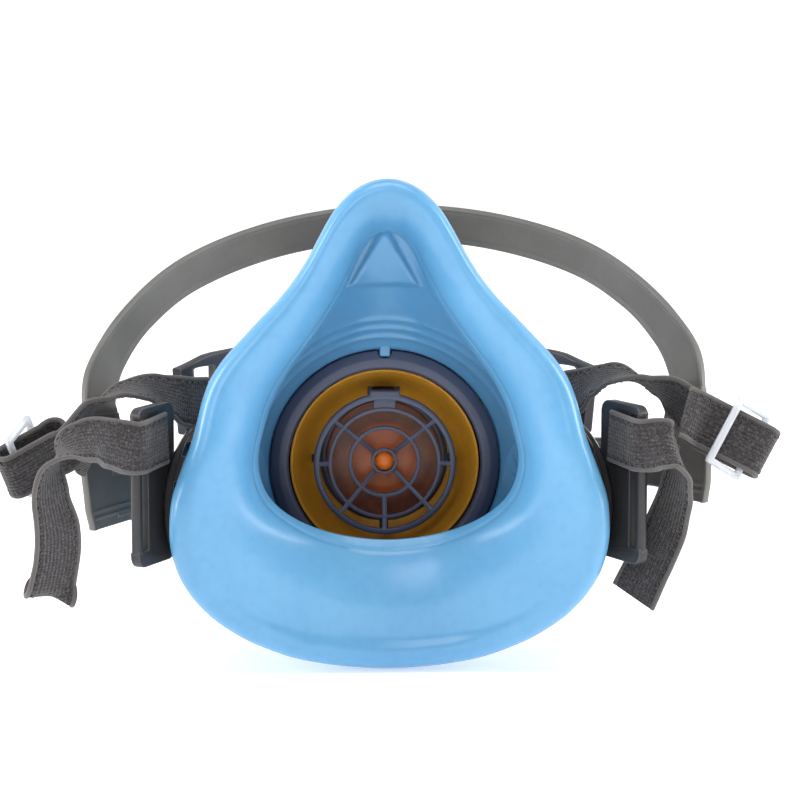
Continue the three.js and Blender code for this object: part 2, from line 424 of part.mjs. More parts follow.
put('lower_strap_R', ribbon([...eye(1, 11.4, 0.9, 4.4, 7),
  [64.6, -13.0, 12.2, 0, -0.25, -0.97], [67.4, -13.0, 12.2, 0, -0.6, -0.8], [69.6, -11.2, 9.4, 0.1, -0.88, -0.4], [70.4, -8.4, 4.6, 0.3, -0.92, -0.2],
  [69.8, -5.4, -2.0, 0.5, -0.85, -0.1], [67.6, -2.4, -11.0, 0.68, -0.73, -0.03], [64.2, 0.8, -20.0, 0.74, -0.66, -0.06], [60.8, 3.4, -28.6, 0.8, -0.58, -0.11]],
  STRAP_W, STRAP_T, 44), mat(STRAP, 0.95));

// ---------------------------------------------------------------- head cradle
// folded forward round the front of the mask, one side slightly higher
const cradle = new THREE.Group();
cradle.position.set(CRADLE_X, 1.6, 4);
cradle.rotation.y = CRADLE_ROLL;
part.add(cradle);
const both = list => [...list.map(s => [-s[0], s[1], s[2], -s[3], s[4], s[5]]), ...list.slice(0, -1).reverse()];
const crown = both([[73.4, 14.6, 16.0, 0.66, -0.70, 0.26], [73.6, 18.0, 20.0, 0.58, -0.68, 0.44], [70.4, 33, 28.4, 0.36, -0.60, 0.70], [63.0, 46, 37.0, 0.2, -0.55, 0.80],
  [50.5, 62, 45.0, 0.1, -0.5, 0.86], [27, 79, 51.6, 0.03, -0.47, 0.88], [0, 85, 54.0, 0, -0.46, 0.89]]);
put('crown_band', ribbon(crown, BAND_W, BAND_T, 36), mat(GREY, 0.45), cradle);
for (const [sign, tag] of sides) {
  put('cradle_plate_' + tag, ribbon([[sign * 73.2, 13.6, 13.2, sign * 0.68, -0.72, 0.12], [sign * 73.0, 13.2, 6, sign * 0.69, -0.72, 0], [sign * 72.4, 13.4, -4, sign * 0.69, -0.72, 0], [sign * 72.0, 13.8, -13, sign * 0.69, -0.72, 0]],
    15, BAND_T + 0.4, 8, t => 0.8 + 0.2 * Math.sin(Math.PI * Math.min(1, t + 0.15))), mat(GREY, 0.45), cradle);
}
const rear = both([[66.2, 20.6, -4.5, 0, 0, 1], [62.5, 28.5, -5.5, 0, 0, 1], [55.0, 48, -8, 0, 0.05, 1], [40, 72, -11, 0, 0.1, 1], [20, 88, -13, 0, 0.1, 1], [0, 93.5, -14, 0, 0.1, 1]]);
put('rear_band', ribbon(rear, BAND_W + 1, BAND_T, 30), mat(GREY, 0.45), cradle);

export default part;
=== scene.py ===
import math
import random

import bmesh
import bpy
import numpy as np
from mathutils import Matrix, Quaternion, Vector
from mathutils.bvhtree import BVHTree


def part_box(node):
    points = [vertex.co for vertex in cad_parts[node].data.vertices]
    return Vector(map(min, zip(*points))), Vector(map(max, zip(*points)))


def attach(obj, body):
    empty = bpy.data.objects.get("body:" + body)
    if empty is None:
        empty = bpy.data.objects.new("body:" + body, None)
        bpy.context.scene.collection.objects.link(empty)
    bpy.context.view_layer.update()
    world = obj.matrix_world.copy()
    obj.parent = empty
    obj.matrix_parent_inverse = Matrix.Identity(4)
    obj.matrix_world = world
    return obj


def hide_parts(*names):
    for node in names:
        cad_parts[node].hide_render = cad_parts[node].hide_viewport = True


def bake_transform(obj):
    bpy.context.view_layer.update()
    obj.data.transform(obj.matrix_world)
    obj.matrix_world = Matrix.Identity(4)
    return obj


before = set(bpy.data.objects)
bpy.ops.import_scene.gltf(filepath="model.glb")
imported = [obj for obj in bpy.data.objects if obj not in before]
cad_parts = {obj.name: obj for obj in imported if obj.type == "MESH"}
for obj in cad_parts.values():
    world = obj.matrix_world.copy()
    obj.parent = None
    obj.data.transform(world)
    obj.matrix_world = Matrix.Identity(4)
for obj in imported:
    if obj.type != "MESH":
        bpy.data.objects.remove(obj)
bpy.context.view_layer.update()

MM = 0.001
scene = bpy.context.scene
random.seed(4)

# ------------------------------------------------------------------ camera
ELEV, YAW, DIST, S_PX = math.radians(8), math.radians(2), 700.0, 0.245
fwd = Vector((math.sin(YAW) * math.cos(ELEV), math.cos(YAW) * math.cos(ELEV), -math.sin(ELEV)))
target = Vector((2.7, 0, 21.4)) * MM
cam_data = bpy.data.cameras.new("camera")
cam = bpy.data.objects.new("camera", cam_data)
scene.collection.objects.link(cam)
cam.location = target - fwd * (DIST - 2.9) * MM
cam.rotation_euler = fwd.to_track_quat("-Z", "Y").to_euler()
cam_data.sensor_width = 36
cam_data.lens = 36 * DIST / (800 * S_PX)
cam_data.clip_start, cam_data.clip_end = 0.01, 20
scene.camera = cam


# ------------------------------------------------------------------ mesh helpers
def V(x, y, z=0.0):
    return Vector((x, y, z))


def new_object(name, verts, faces, uvs=None, smooth=True, mats=None, face_mats=None):
    """verts in millimetres"""
    me = bpy.data.meshes.new(name)
    me.from_pydata([(v[0] * MM, v[1] * MM, v[2] * MM) for v in verts], [], faces)
    if uvs is not None:
        layer = me.uv_layers.new(name="UVMap")
        k = 0
        for p in me.polygons:
            for vi, li in zip(p.vertices, p.loop_indices):
                layer.data[li].uv = uvs[k]
                k += 1
    for m in mats or []:
        me.materials.append(m)
    if face_mats is not None:
        for p, m in zip(me.polygons, face_mats):
            p.material_index = m
    for p in me.polygons:
        p.use_smooth = smooth
    me.update()
    ob = bpy.data.objects.new(name, me)
    scene.collection.objects.link(ob)
    return ob


def outward(ob):
    bm = bmesh.new()
    bm.from_mesh(ob.data)
    bmesh.ops.recalc_face_normals(bm, faces=bm.faces[:])
    if bm.calc_volume(signed=True) < 0:
        bmesh.ops.reverse_faces(bm, faces=bm.faces[:])
    bm.to_mesh(ob.data)
    bm.free()
    return ob


def apply_modifiers(ob):
    dg = bpy.context.evaluated_depsgraph_get()
    me = bpy.data.meshes.new_from_object(ob.evaluated_get(dg), preserve_all_data_layers=True, depsgraph=dg)
    ob.modifiers.clear()
    old = ob.data
    ob.data = me
    bpy.data.meshes.remove(old)
    return ob


def soften(ob, width=0.3, segments=2, angle=35):
    m = ob.modifiers.new("b", "BEVEL")
    m.width, m.segments, m.limit_method, m.angle_limit = width * MM, segments, "ANGLE", math.radians(angle)
    m.use_clamp_overlap = True
    return apply_modifiers(ob)


def by_angle(ob, angle=32):
    me = ob.data
    bm = bmesh.new()
    bm.from_mesh(me)
    for e in bm.edges:
        e.smooth = not (len(e.link_faces) == 2 and e.calc_face_angle(0) > math.radians(angle))
    for f in bm.faces:
        f.smooth = True
    bm.to_mesh(me)
    bm.free()
    return ob


def fillet(profile, r=0.35, n=3, closed=True):
    """rounds the corners of a [(radius, y)] profile; points on the axis stay"""
    out, N = [], len(profile)
    for i, p in enumerate(profile):
        if not closed and i in (0, N - 1):
            out.append(p)
            continue
        a, b = np.array(profile[i - 1], float), np.array(profile[(i + 1) % N], float)
        c = np.array(p, float)
        u, v = a - c, b - c
        lu, lv = np.linalg.norm(u), np.linalg.norm(v)
        if lu < 1e-6 or lv < 1e-6:
            continue
        u, v = u / lu, v / lv
        ang = math.acos(max(-1, min(1, float(u @ v))))
        if ang > math.radians(165):
            out.append(tuple(c))
            continue
        rr = min(r, lu * 0.45, lv * 0.45)
        p0, p1 = c + u * rr, c + v * rr
        for k in range(n + 1):
            t = k / n
            q = (1 - t) ** 2 * p0 + 2 * t * (1 - t) * c + t * t * p1
            out.append((float(q[0]), float(q[1])))
    return out


def lathe(name, profile, seg=96, matrix=None, closed=True, r=0.35, n=3):
    """profile of (radius, y) turned about Y; matrix places it (mm)"""
    prof = fillet(profile, r, n, closed) if r else list(profile)
    verts, faces, M = [], [], len(prof)
    idx = []
    for (rad, y) in prof:
        if rad < 1e-6:
            idx.append([len(verts)] * seg)
            verts.append((0, y, 0))
        else:
            row = []
            for k in range(seg):
                a = 2 * math.pi * k / seg
                row.append(len(verts))
                verts.append((rad * math.cos(a), y, rad * math.sin(a)))
            idx.append(row)
    rng = range(M) if closed else range(M - 1)
    for j in rng:
        A, B = idx[j], idx[(j + 1) % M]
        for k in range(seg):
            q = [A[k], A[(k + 1) % seg], B[(k + 1) % seg], B[k]]
            q = [x for i, x in enumerate(q) if x not in q[:i]]
            if len(q) > 2:
                faces.append(q)
    if matrix is not None:
        verts = [tuple(matrix @ Vector(v)) for v in verts]
    ob = new_object(name, verts, faces)
    outward(ob)
    return ob


def cuboid(name, x0, x1, y0, y1, z0, z1, matrix=None):
    verts = [(x, y, z) for x in (x0, x1) for y in (y0, y1) for z in (z0, z1)]
    if matrix is not None:
        verts = [tuple(matrix @ Vector(v)) for v in verts]
    faces = [(0, 1, 3, 2), (4, 6, 7, 5), (0, 4, 5, 1), (2, 3, 7, 6), (0, 2, 6, 4), (1, 5, 7, 3)]
    ob = new_object(name, verts, faces, smooth=False)
    return outward(ob)


def rod(name, a, b, radius, seg=20, caps=True, rb=None):
    a, b = Vector(a), Vector(b)
    q = (b - a).to_track_quat("Z", "Y")
    m = Matrix.Translation(a) @ q.to_matrix().to_4x4()
    L = (b - a).length
    rb = radius if rb is None else rb
    prof = [(0, 0), (radius, 0), (rb, L), (0, L)]
    turn = Matrix.Rotation(math.radians(90), 4, "X")
    return lathe(name, prof, seg, m @ turn, closed=False, r=min(0.3, radius * 0.4))


def join(name, obs, union=False):
    if union:
        base = obs[0]
        for o in obs[1:]:
            m = base.modifiers.new("u", "BOOLEAN")
            m.operation, m.solver, m.object = "UNION", "EXACT", o
            apply_modifiers(base)
            bpy.data.objects.remove(o)
        base.name = name
        return base
    bm = bmesh.new()
    for o in obs:
        bm.from_mesh(o.data)
    me = bpy.data.meshes.new(name)
    bm.to_mesh(me)
    bm.free()
    for o in obs:
        bpy.data.objects.remove(o)
    ob = bpy.data.objects.new(name, me)
    scene.collection.objects.link(ob)
    return ob


def cut(ob, *cutters, op="DIFFERENCE"):
    for c in cutters:
        m = ob.modifiers.new("c", "BOOLEAN")
        m.operation, m.solver, m.object = op, "EXACT", c
        apply_modifiers(ob)
        bpy.data.objects.remove(c)
    return ob


def catmull(points, n):
    """centripetal-like Catmull-Rom through points (any dimension), n samples, even in arc length"""
    P = np.array(points, float)
    P = np.vstack([2 * P[0] - P[1], P, 2 * P[-1] - P[-2]])
    out = []
    for i in range(1, len(P) - 2):
        p0, p1, p2, p3 = P[i - 1], P[i], P[i + 1], P[i + 2]
        d = [max(np.linalg.norm((b - a)[:3]) ** 0.5, 1e-4) for a, b in ((p0, p1), (p1, p2), (p2, p3))]
        t0, t1 = 0.0, d[0]
        t2, t3 = t1 + d[1], t1 + d[1] + d[2]
        for t in np.linspace(t1, t2, 24, endpoint=False):
            a1 = (t1 - t) / (t1 - t0) * p0 + (t - t0) / (t1 - t0) * p1
            a2 = (t2 - t) / (t2 - t1) * p1 + (t - t1) / (t2 - t1) * p2
            a3 = (t3 - t) / (t3 - t2) * p2 + (t - t2) / (t3 - t2) * p3
            b1 = (t2 - t) / (t2 - t0) * a1 + (t - t0) / (t2 - t0) * a2
            b2 = (t3 - t) / (t3 - t1) * a2 + (t - t1) / (t3 - t1) * a3
            out.append((t2 - t) / (t2 - t1) * b1 + (t - t1) / (t2 - t1) * b2)
    out.append(P[-2])
    A = np.array(out)
    L = np.concatenate([[0], np.cumsum(np.linalg.norm(np.diff(A[:, :3], axis=0), axis=1))])
    s = np.linspace(0, L[-1], n)
    return np.stack([np.interp(s, L, A[:, k]) for k in range(A.shape[1])], 1), L[-1]


def ribbon(name, stations, width, thick, n, round_edge=0.5, cross=None, width_at=None, sag=0.0):
    """flat band through stations (x, y, z, wx, wy, wz), all in mm. Returns the object and its length."""
    st = np.array(stations, float)
    w = st[:, 3:6]
    st[:, 3:6] = w / np.linalg.norm(w, axis=1)[:, None]
    A, L = catmull(st, n)
    C = A[:, :3]
    T = np.gradient(C, axis=0)
    T /= np.linalg.norm(T, axis=1)[:, None]
    W = A[:, 3:6]
    W = W - (W * T).sum(1)[:, None] * T
    W /= np.linalg.norm(W, axis=1)[:, None]
    N = np.cross(T, W)
    if cross is None:
        h, e = thick / 2, min(round_edge, thick / 2 * 0.98)
        cross = []
        xs = list(np.linspace(-width / 2 + e, width / 2 - e, 9))
        for x in xs:
            cross.append((x, -h))
        for k in range(1, 4):
            a = -math.pi / 2 + math.pi * k / 4
            cross.append((width / 2 - e + e * math.cos(a), h * math.sin(a)))
        for x in xs[::-1]:
            cross.append((x, h))
        for k in range(1, 4):
            a = math.pi / 2 + math.pi * k / 4
            cross.append((-width / 2 + e + e * math.cos(a), h * math.sin(a)))
    M = len(cross)
    per = [0.0]
    for j in range(M):
        a, b = cross[j], cross[(j + 1) % M]
        per.append(per[-1] + math.hypot(b[0] - a[0], b[1] - a[1]))
    verts, faces, uvs = [], [], []
    for i in range(n):
        k = width_at(i / (n - 1)) if width_at else 1.0
        for (x, y) in cross:
            verts.append(tuple(C[i] + W[i] * x * k + N[i] * y))
    for i in range(n - 1):
        for j in range(M):
            j2 = (j + 1) % M
            faces.append((i * M + j, i * M + j2, (i + 1) * M + j2, (i + 1) * M + j))
            v0, v1 = L * i / (n - 1), L * (i + 1) / (n - 1)
            a, b = cross[j], cross[j2]
            # u runs across the band from 0 to 1 on both faces
            ua, ub = a[0] / width + 0.5, b[0] / width + 0.5
            uvs += [(ua, v0 * MM * 10), (ub, v0 * MM * 10), (ub, v1 * MM * 10), (ua, v1 * MM * 10)]
    faces.append(tuple(range(M))[::-1])
    uvs += [(cross[j][0] / width + 0.5, 0) for j in range(M)][::-1]
    faces.append(tuple((n - 1) * M + j for j in range(M)))
    uvs += [(cross[j][0] / width + 0.5, L * MM * 10) for j in range(M)]
    ob = new_object(name, verts, faces, uvs)
    outward(ob)
    by_angle(ob, 50)
    return ob, L


# ------------------------------------------------------------------ node material helpers
class Mat:
    def __init__(self, name):
        self.m = bpy.data.materials.new(name)
        self.m.use_nodes = True
        self.t = self.m.node_tree
        self.b = self.t.nodes["Principled BSDF"]
        self.out = self.t.nodes["Material Output"]

    def node(self, kind, **kw):
        n = self.t.nodes.new(kind)
        for k, v in kw.items():
            setattr(n, k, v)
        return n

    def link(self, a, b):
        self.t.links.new(a, b)
        return a

    def sv(self, n, **kw):
        for k, v in kw.items():
            n.inputs[k.replace("_", " ")].default_value = v
        return n

    def math(self, op, a, b=None, c=None, clamp=False):
        n = self.node("ShaderNodeMath", operation=op, use_clamp=clamp)
        for i, x in enumerate((a, b, c)):
            if x is None:
                continue
            if isinstance(x, (int, float)):
                n.inputs[i].default_value = x
            else:
                self.link(x, n.inputs[i])
        return n.outputs[0]

    def mix(self, fac, a, b, blend="MIX"):
        n = self.node("ShaderNodeMix", data_type="RGBA", blend_type=blend)
        for sock, x in ((n.inputs[0], fac), (n.inputs[6], a), (n.inputs[7], b)):
            if isinstance(x, (int, float)):
                sock.default_value = x
            elif isinstance(x, (tuple, list)):
                sock.default_value = tuple(x) + ((1,) if len(x) == 3 else ())
            else:
                self.link(x, sock)
        return n.outputs[2]

    def noise(self, scale, detail=3, rough=0.5, coord="Object", stretch=None):
        src = self.coord(coord)
        if stretch:
            mp = self.node("ShaderNodeMapping")
            mp.inputs["Scale"].default_value = stretch
            self.link(src, mp.inputs["Vector"])
            src = mp.outputs[0]
        n = self.node("ShaderNodeTexNoise")
        n.inputs["Scale"].default_value = scale
        n.inputs["Detail"].default_value = detail
        n.inputs["Roughness"].default_value = rough
        self.link(src, n.inputs["Vector"])
        return n.outputs["Fac"]

    def coord(self, which):
        if which == "UV":
            if not hasattr(self, "_uv"):
                self._uv = self.node("ShaderNodeUVMap", uv_map="UVMap")
            return self._uv.outputs[0]
        if not hasattr(self, "_tc"):
            self._tc = self.node("ShaderNodeTexCoord")
        return self._tc.outputs[which]

    def ramp(self, fac, *stops):
        n = self.node("ShaderNodeValToRGB")
        e = n.color_ramp.elements
        while len(e) < len(stops):
            e.new(0.5)
        for el, (p, c) in zip(e, stops):
            el.position = p
            el.color = tuple(c) + (1,) if isinstance(c, (tuple, list)) else (c, c, c, 1)
        self.link(fac, n.inputs[0])
        return n.outputs[0]

    def scale(self, fac, lo, hi):
        n = self.node("ShaderNodeMapRange")
        self.link(fac, n.inputs[0])
        n.inputs[3].default_value, n.inputs[4].default_value = lo, hi
        return n.outputs[0]

    def bump(self, height, strength=0.3, dist=0.0002, normal=None):
        n = self.node("ShaderNodeBump")
        n.inputs["Strength"].default_value = strength
        n.inputs["Distance"].default_value = dist
        self.link(height, n.inputs["Height"])
        if normal is not None:
            self.link(normal, n.inputs["Normal"])
        return n.outputs[0]

    def set(self, **kw):
        for k, v in kw.items():
            s = self.b.inputs[k.replace("_", " ")]
            if isinstance(v, (int, float)):
                s.default_value = v
            elif isinstance(v, tuple):
                s.default_value = v + ((1,) if len(v) == 3 and s.type == "RGBA" else ())
            else:
                self.link(v, s)
        return self


def srgb(h):
    h = h.lstrip("#")
    c = [int(h[i:i + 2], 16) / 255 for i in (0, 2, 4)]
    return tuple(x / 12.92 if x <= 0.04045 else ((x + 0.055) / 1.055) ** 2.4 for x in c)


def edge_wear(M, radius=0.0006):
    """1 on worn outer edges, 0 elsewhere, from the shading bevel"""
    bv = M.node("ShaderNodeBevel", samples=4)
    bv.inputs["Radius"].default_value = radius
    geo = M.node("ShaderNodeNewGeometry")
    dot = M.node("ShaderNodeVectorMath", operation="DOT_PRODUCT")
    M.link(bv.outputs[0], dot.inputs[0])
    M.link(geo.outputs["Normal"], dot.inputs[1])
    return M.math("SUBTRACT", 1.0, dot.outputs["Value"], clamp=True)


def silicone(name, base, light, dark, rough=0.34, sss=0.22, radius=(0.3, 0.7, 1.0), grain=5200, coat=0.12):
    M = Mat(name)
    cloud = M.noise(28, 3, 0.55)
    fine = M.noise(420, 2, 0.5)
    c = M.mix(M.ramp(cloud, (0.32, 0.0), (0.72, 1.0)), base, light)
    c = M.mix(M.math("MULTIPLY", M.ramp(fine, (0.45, 0.0), (0.75, 1.0)), 0.18), c, dark)
    g = M.noise(grain, 2, 0.5)
    M.set(Base_Color=c, Roughness=M.scale(M.noise(150, 4, 0.6), rough - 0.06, rough + 0.10),
          Normal=M.bump(M.math("ADD", g, M.math("MULTIPLY", cloud, 0.6)), 0.16, 0.00004),
          Subsurface_Weight=sss, Subsurface_Radius=radius, Subsurface_Scale=0.004,
          IOR=1.43, Coat_Weight=coat, Coat_Roughness=0.22)
    return M.m


def moulded(name, base, light, rough=0.42, grain=2600, bump=0.22, coat=0.0, worn=None, speck=0.12, dist=0.00006):
    M = Mat(name)
    cloud = M.noise(45, 4, 0.6)
    fine = M.noise(900, 3, 0.6)
    c = M.mix(M.ramp(cloud, (0.35, 0.0), (0.7, 1.0)), base, light)
    c = M.mix(M.math("MULTIPLY", M.ramp(fine, (0.55, 0.0), (0.8, 1.0)), speck), c, tuple(min(1, x * 2.2 + 0.02) for x in base))
    if worn:
        c = M.mix(M.math("MULTIPLY", edge_wear(M), 2.4, clamp=True), c, worn)
    M.set(Base_Color=c, Roughness=M.scale(M.noise(260, 4, 0.65), rough - 0.07, rough + 0.10),
          Normal=M.bump(M.noise(grain, 3, 0.55), bump, dist), IOR=1.5, Coat_Weight=coat, Coat_Roughness=0.12)
    return M.m


BLUE = silicone("blue_silicone", srgb("#5d9cc8"), srgb("#6aa9d2"), srgb("#4687b6"), rough=0.30, sss=0.14, coat=0.45)
AMBER = silicone("amber_silicone", srgb("#c98a22"), srgb("#d99a2c"), srgb("#9c6216"), rough=0.42, sss=0.12, radius=(1.0, 0.5, 0.1))
ORANGE = silicone("orange_silicone", srgb("#ee7a1a"), srgb("#f58a2a"), srgb("#d86410"), rough=0.36, sss=0.2, radius=(1, 0.4, 0.1))
SLATE = moulded("slate_plastic", srgb("#4e5266"), srgb("#595e73"), rough=0.40, worn=srgb("#7d8299"))
DARK = moulded("dark_plastic", srgb("#2b2a2c"), srgb("#333234"), rough=0.22, grain=1800, bump=0.10, coat=0.35, worn=srgb("#6a6869"), speck=0.05)
LOOP = moulded("loop_plastic", srgb("#2f2e30"), srgb("#39383a"), rough=0.40, grain=2400, bump=0.3, worn=srgb("#8a8889"), speck=0.08)
SHELLM = moulded("shell_plastic", srgb("#343337"), srgb("#3d3c40"), rough=0.46, grain=1700, bump=0.4, worn=srgb("#77757a"), dist=0.0001)
CRADLE = moulded("cradle_plastic", srgb("#5f5d59"), srgb("#6b6965"), rough=0.44, grain=1500, bump=0.35, worn=srgb("#918f8a"), speck=0.10, dist=0.0001)
FOAM = moulded("black_foam", srgb("#232324"), srgb("#2c2c2d"), rough=0.85, grain=900, bump=0.8, speck=0.2, dist=0.0003)


def flap_silicone_painted_shade():
    """orange silicone, bright at the stem and the disc's middle; painted shade turns it browner toward the rim, where
    it lies in shadow under the guard
    """
    M = Mat("flap_silicone_painted_shade")
    sep = M.node("ShaderNodeSeparateXYZ")
    M.link(M.coord("Object"), sep.inputs[0])
    r = M.math("SQRT", M.math("ADD", M.math("POWER", sep.outputs[0], 2), M.math("POWER", sep.outputs[2], 2)))
    rr = M.math("MULTIPLY", r, 1000 / 15.0)
    # painted shade: the ramp turns the orange browner from the stem out to the rim, 15 mm out
    c = M.ramp(rr, (0.0, srgb("#ff8420")), (0.15, srgb("#fb7c1c")), (0.24, srgb("#c46224")), (0.56, srgb("#b0592a")), (0.66, srgb("#7c452a")), (1.0, srgb("#6b3c28")))
    c = M.mix(M.math("MULTIPLY", M.ramp(M.noise(300, 3), (0.4, 0.0), (0.7, 1.0)), 0.15), c, srgb("#d9772f"))
    M.set(Base_Color=c, Roughness=M.scale(M.noise(160, 3), 0.32, 0.46), Subsurface_Weight=0.15, Subsurface_Radius=(1.0, 0.4, 0.1),
          Subsurface_Scale=0.003, Normal=M.bump(M.noise(5000, 2), 0.15, 0.00004), Coat_Weight=0.2, Coat_Roughness=0.2)
    return M.m


FLAPM = flap_silicone_painted_shade()


def clear_plastic():
    M = Mat("clear_plastic")
    n = M.noise(160, 3, 0.5)
    M.set(Base_Color=M.mix(n, srgb("#dfe4ee"), srgb("#f2f5fa")), Roughness=M.scale(M.noise(500, 3), 0.16, 0.30),
          Transmission_Weight=0.42, IOR=1.46, Subsurface_Weight=0.35, Subsurface_Radius=(1.0, 1.0, 1.0), Subsurface_Scale=0.003,
          Normal=M.bump(M.noise(1300, 2), 0.12, 0.00005), Coat_Weight=0.3, Coat_Roughness=0.1)
    return M.m


def filter_media():
    M = Mat("filter_media")
    a = M.noise(700, 5, 0.7, stretch=(1, 1, 3))
    b = M.noise(2400, 4, 0.7, stretch=(3, 1, 1))
    M.set(Base_Color=M.mix(M.ramp(a, (0.3, 0.0), (0.7, 1.0)), srgb("#d9d6c9"), srgb("#eceade")), Roughness=0.92,
          Normal=M.bump(M.math("ADD", a, b), 0.8, 0.0004), Sheen_Weight=0.2)
    return M.m


def webbing(name, dark, mid, light, edge):
    """knit elastic: wales of small V stitches, a heather mix of yarns, painted shade in the low places between the
    stitches, a corded light edge
    """
    M = Mat(name)
    sep = M.node("ShaderNodeSeparateXYZ")
    M.link(M.coord("UV"), sep.inputs[0])
    u, v = sep.outputs[0], sep.outputs[1]          # both in strap widths
    wales, rows = 13.0, 17.0
    cu = M.math("FRACT", M.math("MULTIPLY", u, wales))
    tri = M.math("ABSOLUTE", M.math("SUBTRACT", cu, 0.5))
    vee = M.math("FRACT", M.math("ADD", M.math("MULTIPLY", v, rows), M.math("MULTIPLY", tri, 1.3)))
    hv = M.math("SINE", M.math("MULTIPLY", vee, math.pi))
    groove = M.math("SINE", M.math("MULTIPLY", M.math("MULTIPLY", tri, 2.0), math.pi / 2))
    height = M.math("MULTIPLY", M.math("ADD", M.math("MULTIPLY", hv, 0.7), 0.3), M.math("SUBTRACT", 1.0, M.math("MULTIPLY", M.math("POWER", groove, 4), 0.65)))
    yarn = M.noise(1500, 3, 0.7, stretch=(1, 1, 1))
    heather = M.noise(2.6, 4, 0.75, coord="UV", stretch=(9.0, 1.6, 1))
    c = M.mix(M.ramp(heather, (0.34, 0.0), (0.66, 1.0)), dark, mid)
    c = M.mix(M.math("MULTIPLY", M.ramp(yarn, (0.48, 0.0), (0.72, 1.0)), 0.55), c, light)
    # painted shade: the low places of the knit pattern are darkened toward a dark grey
    c = M.mix(M.math("MULTIPLY", M.math("SUBTRACT", 1.0, height), 0.55), c, tuple(x * 0.35 for x in dark))
    # corded selvedge
    eu = M.math("ABSOLUTE", M.math("SUBTRACT", u, 0.5))
    is_edge = M.math("GREATER_THAN", eu, 0.408)
    twist = M.math("SINE", M.math("ADD", M.math("MULTIPLY", v, 2 * math.pi * 15), M.math("MULTIPLY", eu, 60)))
    tw = M.scale(twist, 0.0, 1.0)
    tw_n = M.t.nodes[-1]
    tw_n.inputs[1].default_value = -1.0
    ec = M.mix(M.math("MULTIPLY", tw, 0.22), edge, tuple(x * 0.7 for x in edge))
    c = M.mix(is_edge, c, ec)
    h2 = M.math("ADD", M.math("MULTIPLY", height, M.math("SUBTRACT", 1.0, is_edge)), M.math("MULTIPLY", is_edge, M.math("MULTIPLY", tw, 0.2)))
    nrm = M.bump(M.noise(5200, 3, 0.7), 0.35, 0.00012)
    M.set(Base_Color=c, Roughness=0.9, Normal=M.bump(h2, 0.75, 0.00028, nrm), Sheen_Weight=0.25, Sheen_Roughness=0.5, Specular_IOR_Level=0.25)
    return M.m


WEB = webbing("knit_webbing", srgb("#2b292a"), srgb("#474344"), srgb("#857f80"), srgb("#5e5a59"))


def thread():
    M = Mat("black_thread")
    M.set(Base_Color=M.mix(M.noise(4000, 3, 0.7), srgb("#151416"), srgb("#2c2a2d")), Roughness=0.75,
          Normal=M.bump(M.noise(6000, 2, 0.6), 0.5, 0.00008), Sheen_Weight=0.15)
    return M.m


THREAD = thread()
CLEAR = clear_plastic()
MEDIA = filter_media()

pieces = {}


def keep(ob, body, *nodes, slot=None, mat=None):
    if mat is not None:
        ob.data.materials.clear()
        ob.data.materials.append(mat)
        for p in ob.data.polygons:
            p.material_index = 0
    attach(ob, body)
    if nodes:
        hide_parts(*nodes)
    pieces[ob.name] = ob
    return ob


# ------------------------------------------------------------------ facepiece
RIM_THICK, LIP_THICK, NECK_MID_R, NECK_END_Y, FLANGE_IN_R, CY = 2.4, 1.1, 31.0, 39.6, 25.8, 4
OUTLINE = [[0, 74.9], [4.2, 74.2], [8.0, 72.3], [10.8, 69.9], [12.9, 67.5], [14.5, 65.1], [17.2, 60.3], [19.8, 55.5],
           [22.9, 50.8], [26.8, 46.0], [31.4, 41.3], [35.9, 36.6], [40.2, 31.9], [43.4, 27.2], [45.3, 22.5],
           [46.5, 17.8], [47.7, 13.1], [49.5, 8.4], [51.3, 3.5], [52.8, -1.3], [53.4, -6.1], [53.5, -11.1],
           [52.8, -16.2], [51.1, -21.4], [48.1, -26.6], [43.4, -32.0], [36.2, -37.5], [30.8, -40.4],
           [23.5, -43.4], [13.6, -45.5], [0, -46.5]]
LIP = [[0, 62.6], [2.6, 62.1], [4.6, 60.6], [7.3, 55.0], [9.5, 49.7], [14.8, 41.0], [20.7, 33.2],
       [25.7, 26.5], [29.4, 19.5], [31.7, 11.3], [32.5, 7.7], [31.9, 1.4], [29.5, -3.9], [23.6, -9.1],
       [14.1, -13.2], [0, -15.2]]


def rim_y(z):
    return np.interp(z, [-47, -38, -25, -8, 10, 30, 50, 76], [2, -4, -9, -12, -11, -6, 0, 6])


def lip_y(z):
    return np.interp(z, [-20, -10, 5, 30, 60], [10, 6, 2, 7, 14])


def closed_curve(half, per=40):
    pts = [(x, 0, z) for x, z in half] + [(-x, 0, z) for x, z in half[-2:0:-1]]
    P = np.array(pts[-3:] + pts + pts[:4], float)
    out = []
    for i in range(3, 3 + len(pts)):
        p0, p1, p2, p3 = P[i - 1], P[i], P[i + 1], P[i + 2]
        d = [max(np.linalg.norm(b - a) ** 0.5, 1e-4) for a, b in ((p0, p1), (p1, p2), (p2, p3))]
        t0, t1 = 0.0, d[0]
        t2, t3 = t1 + d[1], t1 + d[1] + d[2]
        for t in np.linspace(t1, t2, per, endpoint=False):
            a1 = (t1 - t) / (t1 - t0) * p0 + (t - t0) / (t1 - t0) * p1
            a2 = (t2 - t) / (t2 - t1) * p1 + (t - t1) / (t2 - t1) * p2
            a3 = (t3 - t) / (t3 - t2) * p2 + (t - t2) / (t3 - t2) * p3
            b1 = (t2 - t) / (t2 - t0) * a1 + (t - t0) / (t2 - t0) * a2
            b2 = (t3 - t) / (t3 - t1) * a2 + (t - t1) / (t3 - t1) * a3
            out.append((t2 - t) / (t2 - t1) * b1 + (t - t1) / (t2 - t1) * b2)
    return np.array(out)[:, [0, 2]]


